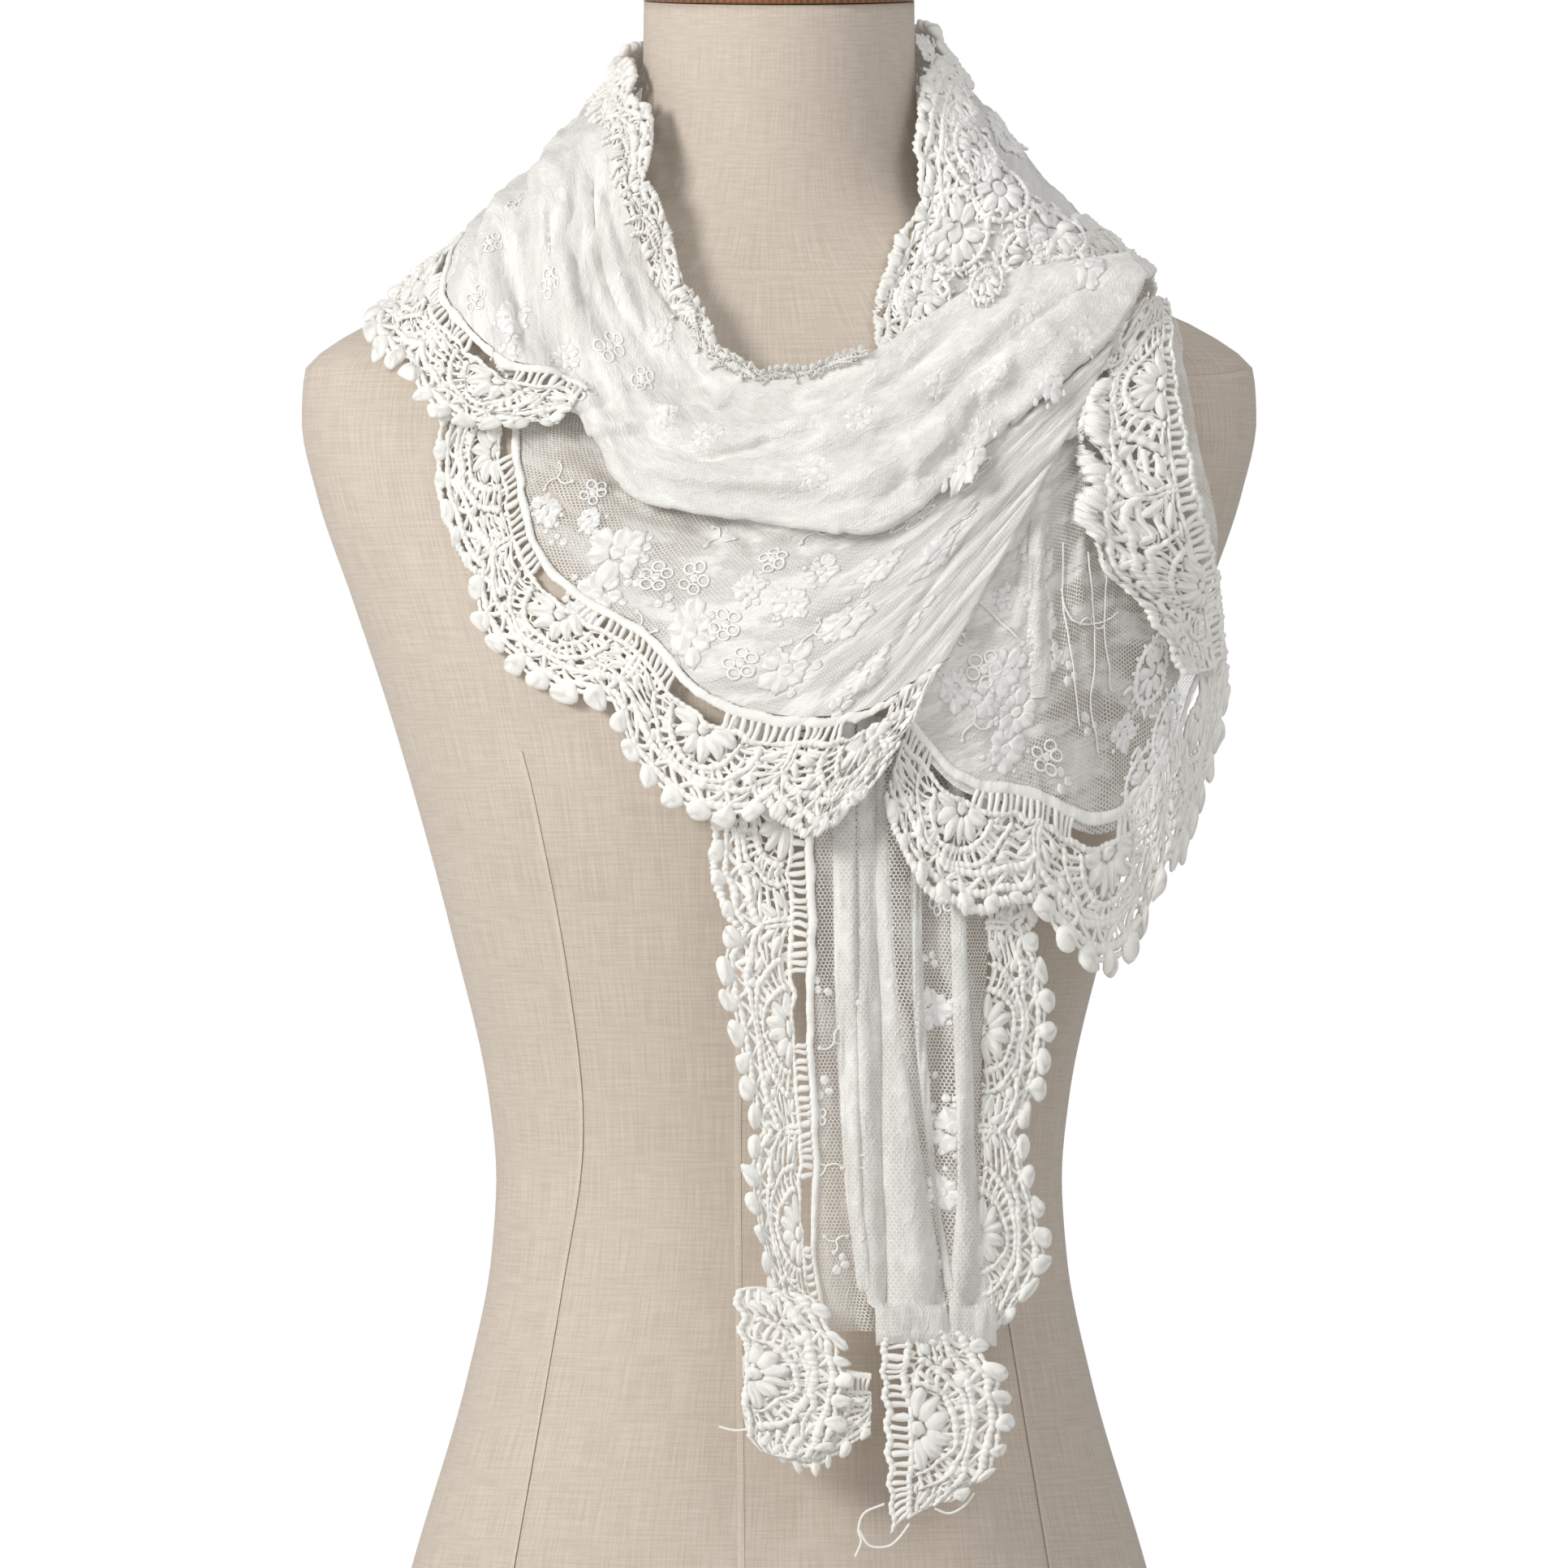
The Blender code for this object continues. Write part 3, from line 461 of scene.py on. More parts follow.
def seenOn(cloth, x, z):
    # the place on a cloth that is seen from the front at x, z
    off = np.hypot(cloth.points[..., 0] - x, cloth.points[..., 2] - z)
    off = off + np.where(cloth.points[..., 1] > frontLimit, farOff, 0)
    depth = np.where(off < off.min() + sameSpot, cloth.points[..., 1], farOff)
    i, j = np.unravel_index(depth.argmin(), off.shape)
    return i * cloth.ds, j * cloth.dv


# Finer and finer waves in a cloth: share of the depth, then scale and shift along it and across it.
wrinkleWaves = ((1.0, 1.0, 0, 1.0, 0), (0.5, 2.3, 5, 1.9, 3), (0.3, 4.3, 2, 2.9, 7))


class Cloth:
    # A sheet with its creases on a fine grid, read at any place and height. A crease is a row of x, z and x, z
    # as seen from the front, its height (under 0 for a trough) and its half width.
    # The wrinkle is a depth, a length along the cloth and one across it, and a seed.
    def __init__(self, sheet, creases, wrinkle, folds=(), step=1.25):
        self.sheet = sheet
        rows = int(sheet.length / step) + 2
        columns = int(sheet.width.max() / step) + 2
        s = np.linspace(0, sheet.length, rows)[:, None]
        v = np.linspace(0, 1, columns)[None, :]
        self.ds, self.dv = s[1, 0], v[0, 1]
        points, normals = sheet.points(s, v), sheet.normals(s, v)
        depth, along, across, seed = wrinkle
        self.points = points
        laid = []
        for x0, z0, x1, z1, height, halfWidth in creases:
            (s0, v0), (s1, v1) = seenOn(self, x0, z0), seenOn(self, x1, z1)
            laid.append(Fold((s0 / sheet.length, v0), (s1 / sheet.length, v1), height, halfWidth))
        bump = rise(sheet, [*laid, *folds], s, v)
        wide = eased(sheet.at, sheet.width, s) * v
        for i, (share, lengthways, start, sideways, side) in enumerate(wrinkleWaves):
            x, y = s / along * lengthways + start + 0 * v, wide / across * sideways + side
            bump = bump + share * depth * softNoise(x, y, seed + i)
        sharp = 1 - np.abs(softNoise(s / along * 1.4 + 9 + 0 * v, wide / across * 0.8 + 4, seed + 4))
        bump = bump + 0.9 * depth * sharp**4
        self.points = points + normals * bump[..., None]
        slopeS, slopeV = np.gradient(self.points, axis=0), np.gradient(self.points, axis=1)
        self.normals = turnedTo(unit(np.cross(slopeS, slopeV)), normals)

    def at(self, s, v, h=0.0):
        fs, fv = np.asarray(s, float) / self.ds, np.asarray(v, float) / self.dv
        fs, fv = np.broadcast_arrays(fs, fv)
        rows, columns = self.points.shape[:2]
        i = np.clip(np.floor(fs).astype(int), 0, rows - 2)
        j = np.clip(np.floor(fv).astype(int), 0, columns - 2)
        a, b = (fs - i)[..., None], (fv - j)[..., None]

        def mixed(grid):
            near = grid[i, j] * (1 - b) + grid[i, j + 1] * b
            far = grid[i + 1, j] * (1 - b) + grid[i + 1, j + 1] * b
            return near * (1 - a) + far * a

        return mixed(self.points) + unit(mixed(self.normals)) * np.asarray(h, float)[..., None]


class Skin:
    # gathers quads and triangles with a UV in millimetres, then makes one mesh of them
    def __init__(self):
        self.verts, self.uvs, self.quads, self.tris, self.count = [], [], [], [], 0

    def add(self, verts, uvs, quads, tris=None):
        self.verts.append(np.asarray(verts, float).reshape(-1, 3))
        self.uvs.append(np.asarray(uvs, float).reshape(-1, 2))
        self.quads.append(np.asarray(quads, int).reshape(-1, 4) + self.count)
        if tris is not None and len(tris):
            self.tris.append(np.asarray(tris, int).reshape(-1, 3) + self.count)
        self.count += len(self.verts[-1])

    def placed(self, way):
        # the same faces with every point moved by way(points)
        other, flat = Skin(), np.concatenate(self.verts)
        other.verts, other.uvs = [way(flat)], [np.concatenate(self.uvs)]
        other.quads, other.tris, other.count = self.quads, self.tris, self.count
        middle = flat.mean(0) * (1, 1, 0) + (0, 0, 1)
        centre, along, out, up = way(middle + np.array([(0, 0, 0), (1, 0, 0), (0, 1, 0), (0, 0, 1)]))
        if np.dot(np.cross(along - centre, out - centre), up - centre) < 0:
            other.quads = [faces[:, ::-1] for faces in self.quads]
            other.tris = [faces[:, ::-1] for faces in self.tris]
        return other

    def join(self, other):
        verts, uvs = np.concatenate(other.verts), np.concatenate(other.uvs)
        tris = np.concatenate(other.tris) if other.tris else None
        self.add(verts, uvs, np.concatenate(other.quads) if other.quads else np.zeros((0, 4)), tris)

    def make(self, name, material, weld=False):
        verts, uvs = np.concatenate(self.verts) * mm, np.concatenate(self.uvs)
        quads = np.concatenate(self.quads) if self.quads else np.zeros((0, 4), int)
        tris = np.concatenate(self.tris) if self.tris else np.zeros((0, 3), int)
        corners = np.concatenate([quads.ravel(), tris.ravel()]).astype(np.int32)
        sizes = np.concatenate([np.full(len(quads), 4), np.full(len(tris), 3)])
        mesh = bpy.data.meshes.new(name)
        mesh.vertices.add(len(verts))
        mesh.vertices.foreach_set("co", verts.ravel().astype(np.float32))
        mesh.loops.add(len(corners))
        mesh.loops.foreach_set("vertex_index", corners)
        mesh.polygons.add(len(sizes))
        starts = np.concatenate([[0], np.cumsum(sizes)[:-1]]).astype(np.int32)
        mesh.polygons.foreach_set("loop_start", starts)
        mesh.polygons.foreach_set("use_smooth", np.ones(len(sizes), bool))
        layer = mesh.uv_layers.new(name="cut")
        mesh.update(calc_edges=True)
        layer.data.foreach_set("uv", uvs[corners].ravel().astype(np.float32))
        mesh.validate()
        if weld:
            maker = bmesh.new()
            maker.from_mesh(mesh)
            bmesh.ops.remove_doubles(maker, verts=maker.verts, dist=1e-6)
            maker.to_mesh(mesh)
            maker.free()
        mesh.materials.append(material)
        obj = bpy.data.objects.new(name, mesh)
        bpy.context.scene.collection.objects.link(obj)
        return obj


def gridFaces(rows, columns, closed=False):
    # quads of a grid of points, its columns joined round when closed
    i, j = np.meshgrid(np.arange(rows - 1), np.arange(columns if closed else columns - 1), indexing="ij")
    k, near, far = (j + 1) % columns, i * columns, (i + 1) * columns
    return np.stack([near + j, far + j, far + k, near + k], -1).reshape(-1, 4)


def fan(start, count, tip, flip=False):
    # the triangles between a ring of points and its tip
    k = np.arange(count)
    here, after = start + k, start + (k + 1) % count
    return np.stack([*((here, after) if flip else (after, here)), np.full(count, tip)], -1)


def facing(points, normals):
    # the quads of a grid of points, turned so that they face along its normals
    faces = gridFaces(*points.shape[:2])
    turned = np.cross(np.gradient(points, axis=0), np.gradient(points, axis=1))
    return faces if (turned * normals).sum() > 0 else faces[:, ::-1]


class Finish:
    # a material with helpers that add and link its nodes
    def __init__(self, name, colour, roughness):
        self.material = bpy.data.materials.new(name)
        self.material.use_nodes = True
        self.tree = self.material.node_tree
        self.shader = self.tree.nodes["Principled BSDF"]
        self.shader.inputs["Base Color"].default_value = (*colour, 1)
        self.shader.inputs["Roughness"].default_value = roughness

    def node(self, kind, links=(), **values):
        node = self.tree.nodes.new(kind)
        for key, value in values.items():
            setattr(node, key, value)
        for socket, source in links:
            if isinstance(source, bpy.types.NodeSocket):
                self.tree.links.new(source, node.inputs[socket])
            else:
                node.inputs[socket].default_value = source
        return node

    def math(self, operation, a, b=0.0, c=0.0):
        return self.node("ShaderNodeMath", [(0, a), (1, b), (2, c)], operation=operation).outputs[0]

    def uv(self, scale, turn=0.0):
        # the cut's own millimetres, stretched and turned
        source = self.node("ShaderNodeUVMap", uv_map="cut").outputs[0]
        mapping = self.node("ShaderNodeMapping", [(0, source), ("Rotation", (0, 0, turn)), ("Scale", (*scale, 1))])
        return mapping.outputs[0]

    def weighed(self, first, share, second, otherShare):
        return self.math("ADD", self.math("MULTIPLY", first, share), self.math("MULTIPLY", second, otherShare))

    def wave(self, where, scale, distortion, detail):
        links = [("Vector", where), ("Scale", scale), ("Distortion", distortion), ("Detail", detail)]
        return self.node("ShaderNodeTexWave", links).outputs["Fac"]

    def noise(self, where, scale, detail=2.0, rough=0.5):
        links = [("Vector", where), ("Scale", scale), ("Detail", detail), ("Roughness", rough)]
        return self.node("ShaderNodeTexNoise", links).outputs["Fac"]

    def ramp(self, value, low, high, first=0.0, last=1.0):
        links = [("Value", value), ("From Min", low), ("From Max", high), ("To Min", first), ("To Max", last)]
        return self.node("ShaderNodeMapRange", links, interpolation_type="SMOOTHSTEP").outputs[0]

    def mix(self, share, first, last):
        node = self.node("ShaderNodeMix", data_type="RGBA")
        for socket, value in ((0, share), (6, first), (7, last)):
            if isinstance(value, bpy.types.NodeSocket):
                self.tree.links.new(value, node.inputs[socket])
            else:
                node.inputs[socket].default_value = value if socket == 0 else (*value, 1)
        return node.outputs[2]

    def bump(self, height, strength, distance):
        links = [("Height", height), ("Strength", strength), ("Distance", distance * mm)]
        self.link(self.node("ShaderNodeBump", links).outputs[0], "Normal")

    def link(self, source, socket):
        self.tree.links.new(source, self.shader.inputs[socket])


linenLook = {
    "pale": (0.655, 0.575, 0.495),
    "dark": (0.53, 0.45, 0.372),
    "roughness": 0.88,
    "slubLength": 26.0,
    "threadWidth": 1.0,
    "bump": 0.35,
}


def linenFinish(name, paler=1.0):
    # paler lightens both colours of the weave; the seams use it to paint a highlight along them
    look = {**linenLook, **{key: [c * paler for c in linenLook[key]] for key in ("pale", "dark")}}
    finish = Finish(name, look["pale"], look["roughness"])
    fine, long = 1 / look["threadWidth"], 1 / look["slubLength"]
    weft = finish.noise(finish.uv((long, fine)), 1.0, 3.0, 0.6)
    warp = finish.noise(finish.uv((fine, long)), 1.0, 3.0, 0.6)
    cross = finish.weighed(weft, 0.46, warp, 0.54)
    speck = finish.noise(finish.uv((fine, fine)), 1.4, 1.0)
    weave = finish.weighed(cross, 0.8, speck, 0.2)
    finish.link(finish.mix(finish.ramp(weave, 0.36, 0.64), look["dark"], look["pale"]), "Base Color")
    finish.shader.inputs["Sheen Weight"].default_value = 0.15
    finish.bump(weave, look["bump"], 0.5)
    return finish.material


woodLook = {"pale": (0.30, 0.115, 0.035), "dark": (0.12, 0.04, 0.012), "roughness": 0.32, "ringWidth": 5.0}


def woodFinish():
    look = woodLook
    finish = Finish("stained wood", look["pale"], look["roughness"])
    waver = finish.noise(finish.uv((0.02, 0.02)), 1.0, 3.0)
    grain = finish.wave(finish.uv((1 / look["ringWidth"], 0.04)), 0.6, 3.0, 3.0)
    grain = finish.math("MULTIPLY", grain, finish.ramp(waver, 0.3, 0.7, 0.6, 1.0))
    finish.link(finish.mix(grain, look["pale"], look["dark"]), "Base Color")
    finish.shader.inputs["Coat Weight"].default_value = 0.3
    finish.bump(grain, 0.1, 0.2)
    return finish.material


netLook = {
    "colour": (0.91, 0.903, 0.868),
    # this darker colour is painted shade, which the net takes in its low places
    "paintedShade": (0.83, 0.818, 0.775),
    "roughness": 0.85,
    "meshWidth": 1.6,
    # creased: how strongly the crease lines are raised in the bump and painted lighter, a painted highlight along
    # them
    "creased": 0.2,
    "bump": 0.55,
}


def netFinish(name, hole, patchy, thicker=None):
    # hole is how much cloth there is in the middle of a mesh; patchy adds doubled places, and thicker says
    # from where to where along the cut, in millimetres, the net becomes several layers
    look = netLook
    finish = Finish(name, look["colour"], look["roughness"])
    wave = 4 * math.pi / (math.sqrt(3) * look["meshWidth"])
    place = finish.node("ShaderNodeSeparateXYZ", [(0, finish.uv((wave, wave)))])
    x, y = place.outputs[0], place.outputs[1]
    half = finish.math("MULTIPLY", x, 0.5)
    tall = finish.math("MULTIPLY", y, math.sqrt(3) / 2)
    meshes = finish.math("COSINE", x)
    for direction in ("ADD", "SUBTRACT"):
        meshes = finish.math("ADD", meshes, finish.math("COSINE", finish.math(direction, half, tall)))
    thread = finish.ramp(meshes, -0.45, -0.95)
    doubled = finish.ramp(finish.noise(finish.uv((0.030, 0.075)), 1.0, 3.0, 0.6), 0.44, 0.62, 0.0, patchy)
    inside = finish.math("ADD", hole, doubled)
    if thicker:
        along = finish.node("ShaderNodeSeparateXYZ", [(0, finish.uv((1, 1)))]).outputs[0]
        inside = finish.math("ADD", inside, finish.ramp(along, *thicker, 0.0, 0.55))
    inside = finish.math("MINIMUM", inside, 1.0)
    alpha = finish.math("MAXIMUM", finish.math("MULTIPLY", thread, 0.93), inside)
    finish.link(alpha, "Alpha")
    crumple = finish.noise(finish.uv((0.07, 0.22)), 1.0, 5.0, 0.68)
    crinkle = finish.noise(finish.uv((0.32, 0.5)), 1.0, 3.0, 0.6)
    uneven = finish.weighed(crumple, 0.6, crinkle, 0.4)
    # thin crease lines where a broad noise crosses its middle; they raise the bump and are painted lighter, a
    # painted highlight
    folds = finish.math("SUBTRACT", finish.noise(finish.uv((0.04, 0.12)), 1.0, 2.0), 0.5)
    lines = finish.ramp(finish.math("ABSOLUTE", folds), 0.0, 0.035, 1.0, 0.0)
    uneven = finish.math("ADD", uneven, finish.math("MULTIPLY", lines, look["creased"]))
    # painted shade: the net's colour goes darker where its crumples and crinkles are low, the same pattern that
    # gives its bump
    finish.link(finish.mix(finish.ramp(uneven, 0.38, 0.6), look["paintedShade"], look["colour"]), "Base Color")
    finish.shader.inputs["Sheen Weight"].default_value = 0.2
    finish.bump(finish.math("ADD", finish.math("MULTIPLY", thread, 0.22), uneven), look["bump"], 2.0)
    return finish.material


cottonLook = {
    "colour": (0.95, 0.94, 0.90),
    # this darker, creamier colour is painted shade, which the yarn takes in its low places
    "paintedShade": (0.89, 0.872, 0.82),
    "roughness": 0.9,
    "twistLength": 1.7,
    "bump": 0.6,
    "glow": 0.05,  # painted light: a faint glow in place of light that passes through the thin yarn
    "webCell": 3.6,
}


def cottonFinish(name, colour, paintedShade, web=False):
    # crochet cotton: a twisted yarn with a soft nap. A web is the uneven ground between the worked parts.
    look = cottonLook
    finish = Finish(name, colour, look["roughness"])
    turns = 1 / look["twistLength"]
    twist = finish.wave(finish.uv((turns, turns), 0.7), 1.0, 1.2, 1.0)
    nap = finish.noise(finish.uv((0.5, 0.5)), 1.0, 1.5, 0.5)
    yarn = finish.weighed(twist, 0.4, nap, 0.6)
    # painted shade: the yarn goes darker and creamier where its twist and nap are low, the same pattern that gives
    # its bump
    finish.link(finish.mix(finish.ramp(yarn, 0.25, 0.6), paintedShade, colour), "Base Color")
    finish.shader.inputs["Sheen Weight"].default_value = 0.3
    if web:
        cell = 1 / look["webCell"]
        links = [("Vector", finish.uv((cell, cell))), ("Scale", 1.0), ("Randomness", 0.95)]
        cells = finish.node("ShaderNodeTexVoronoi", links, feature="DISTANCE_TO_EDGE", voronoi_dimensions="2D")
        thick = finish.ramp(finish.noise(finish.uv((0.12, 0.12)), 1.0, 2.0), 0.35, 0.65, 0.10, 0.24)
        inside = finish.math("SUBTRACT", thick, cells.outputs["Distance"])
        finish.link(finish.ramp(inside, -0.02, 0.03), "Alpha")
        yarn = finish.math("ADD", finish.ramp(inside, -0.02, 0.12), finish.math("MULTIPLY", yarn, 0.6))
    # painted light: the yarn glows faintly in its own colour, which lightens its shade
    finish.shader.inputs["Emission Color"].default_value = (*colour, 1)
    finish.shader.inputs["Emission Strength"].default_value = look["glow"]
    finish.bump(yarn, look["bump"], 0.45)
    return finish.material


linen = linenFinish("linen cover")
# painted highlight: the seams' linen is painted 7% paler than the cover
seamLinenPaintedHighlight = linenFinish("linen seam painted highlight", 1.07)
wood = woodFinish()
sheerNet = netFinish("single net", 0.08, 0.30)
bibNetFinish = netFinish("bib net", 0.14, 0.45, (95, 185))
dropNetFinish = netFinish("drop net", 0.18, 0.58, (72, 40))
foldedNet = netFinish("folded net", 0.62, 0.35)
closeNet = netFinish("gathered net", 0.80, 0.20)
pleatNet = netFinish("pleated net", 0.61, 0.30)
cotton = cottonFinish("crochet cotton", cottonLook["colour"], cottonLook["paintedShade"])
webCotton = cottonFinish("crochet ground", cottonLook["colour"], cottonLook["paintedShade"], web=True)
# the floss's second colour is painted shade for its low places
floss = cottonFinish("white floss", (0.955, 0.95, 0.925), (0.90, 0.89, 0.86))
print("finishes made")


def place(piece, slotName, node=None):
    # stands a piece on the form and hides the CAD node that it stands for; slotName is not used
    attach(piece, "root")
    if node:
        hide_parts(node)
    return piece


def spaced(path, step):
    # the path's points again, an even step apart
    path = np.asarray(path, float)
    run = runOf(path)
    at = np.linspace(0, run[-1], max(2, int(run[-1] / step) + 1))
    return np.stack([np.interp(at, run, column) for column in path.T], -1), at


def strand(skin, path, radius, height, flat=1.0, sides=5, bead=0.0, step=1.2):
    # a yarn along a path of (u, w) or (u, w, h) in the lace's own flat plane, closed at its ends
    path, run = spaced(path, min(step, 0.75) if bead else step)
    lifted = path[:, 2] if path.shape[1] > 2 else np.full(len(path), float(height))
    slope = unit(np.gradient(path[:, :2], axis=0))
    across = np.stack([-slope[:, 1], slope[:, 0]], -1)
    size = radius * (1 + bead * np.sin(2 * np.pi * run / borderCut["stitch"]))
    turn = 2 * np.pi * np.arange(sides) / sides
    plane = path[:, None, :2] + across[:, None] * (np.cos(turn)[None] * size[:, None])[..., None]
    tall = lifted[:, None] + np.sin(turn)[None] * size[:, None] * flat
    verts = np.concatenate([plane, tall[..., None]], -1).reshape(-1, 3)
    uvs = np.stack(np.broadcast_arrays(run[:, None], turn[None] * radius), -1).reshape(-1, 2)
    count = len(verts)
    tips = np.stack([path[0, :2] - slope[0] * radius * 0.6, path[-1, :2] + slope[-1] * radius * 0.6])
    verts = np.concatenate([verts, np.concatenate([tips, lifted[[0, -1], None]], -1)])
    uvs = np.concatenate([uvs, [[run[0], 0], [run[-1], 0]]])
    fans = [fan(0, sides, count), fan(count - sides, sides, count + 1, flip=True)]
    skin.add(verts, uvs, gridFaces(len(path), sides, True)[:, ::-1], np.concatenate(fans))


def dome(skin, u, w, along, across, tall, height, turn=0.0, lumps=0, around=10, rings=6, depth=0.08):
    # a stuffed stitch: a flattened ball, with lumps round it
    lat = np.linspace(-np.pi / 2, np.pi / 2, rings + 1)[1:-1, None]
    lon = (2 * np.pi * np.arange(around) / around)[None, :]
    size = 1 + depth * np.cos(lumps * lon) * np.cos(lat) if lumps else 1 + 0 * lon * lat
    x, y = along * np.cos(lat) * np.cos(lon) * size, across * np.cos(lat) * np.sin(lon) * size
    z = tall * np.sin(lat) + 0 * lon
    cos, sin = np.cos(turn), np.sin(turn)
    verts = np.stack([x * cos - y * sin + u, x * sin + y * cos + w, z + height], -1)
    uvs = np.stack([lon * across + 0 * lat, lat * along + 0 * lon], -1).reshape(-1, 2) + (u, w)
    count = (rings - 1) * around
    verts = np.concatenate([verts.reshape(-1, 3), [[u, w, height - tall], [u, w, height + tall]]])
    uvs = np.concatenate([uvs, [[u, w], [u, w]]])
    fans = [fan(0, around, count), fan(count - around, around, count + 1, flip=True)]
    skin.add(verts, uvs, gridFaces(rings - 1, around, True)[:, ::-1], np.concatenate(fans))


borderCut = {
    "repeat": 72.0,
    "width": 46.0,
    "stitch": 2.7,
    "tape": 1.95,
    "chain": 1.25,
    "fanAt": (36.0, 11.5),
    "fanInner": 15.0,
    "fanOuter": 18.8,
    "fanSpread": 4.2,  # how much further the fan's outer arc reaches at its sides
    "petalReach": 8.4,
    "petalTurns": [-78, -47, -16, 16, 47, 78],
    "chainAt": 10.4,
    "zigzag": (14.3, 8.3),  # its two chains, in from the scalloped edge
    "sideBars": [(12.6, 11.5), (15.5, 12.2), (18.4, 13.0), (21.4, 14.0), (24.0, 15.0)],
    "buds": [(13.5, 24.5), (58.5, 24.5), (19.5, 28.0), (52.5, 28.0), (9.0, 27.0), (63.0, 27.0)],
    "barsAt": [1.5, 4.5, 7.5, 10.5, 13.5, 16, 42, 44.8, 48, 51.2, 54.4, 57.6, 60.8, 64, 67, 70],
    "slitBarsAt": [19, 22.5, 25.5, 29, 32.5, 35.5, 39],
    "bars": 17,
    "triangles": 7,
    "balls": 7,
    "ballRadius": 4.5,
    "unevenness": 1.3,
    "looseStitches": 28,
}


def edgeAt(u, inside=0.0):
    # how far out the scalloped edge is, less a distance
    dip = 1 - np.abs(np.sin(np.pi * np.asarray(u, float) / borderCut["repeat"])) ** scallopFullness
    return borderCut["width"] * (1 - scallopDepth * dip) - inside


def groundWeb(start):
    # the web under one repeat of the crochet, from its first chain to short of its hem
    u, t = np.linspace(0, borderCut["repeat"], 37)[None, :], np.linspace(0, 1, 15)[:, None]
    low = max(10.0, start)
    w = low + (edgeAt(u, 6.5) - low) * t
    h = 0.75 + 0.35 * softNoise(u / 5 + 0 * w, w / 5, 17)
    points = np.stack(np.broadcast_arrays(u + 0 * w, w, h), -1)
    skin = Skin()
    skin.add(points, points[..., :2], gridFaces(15, 37)[:, ::-1])
    return skin


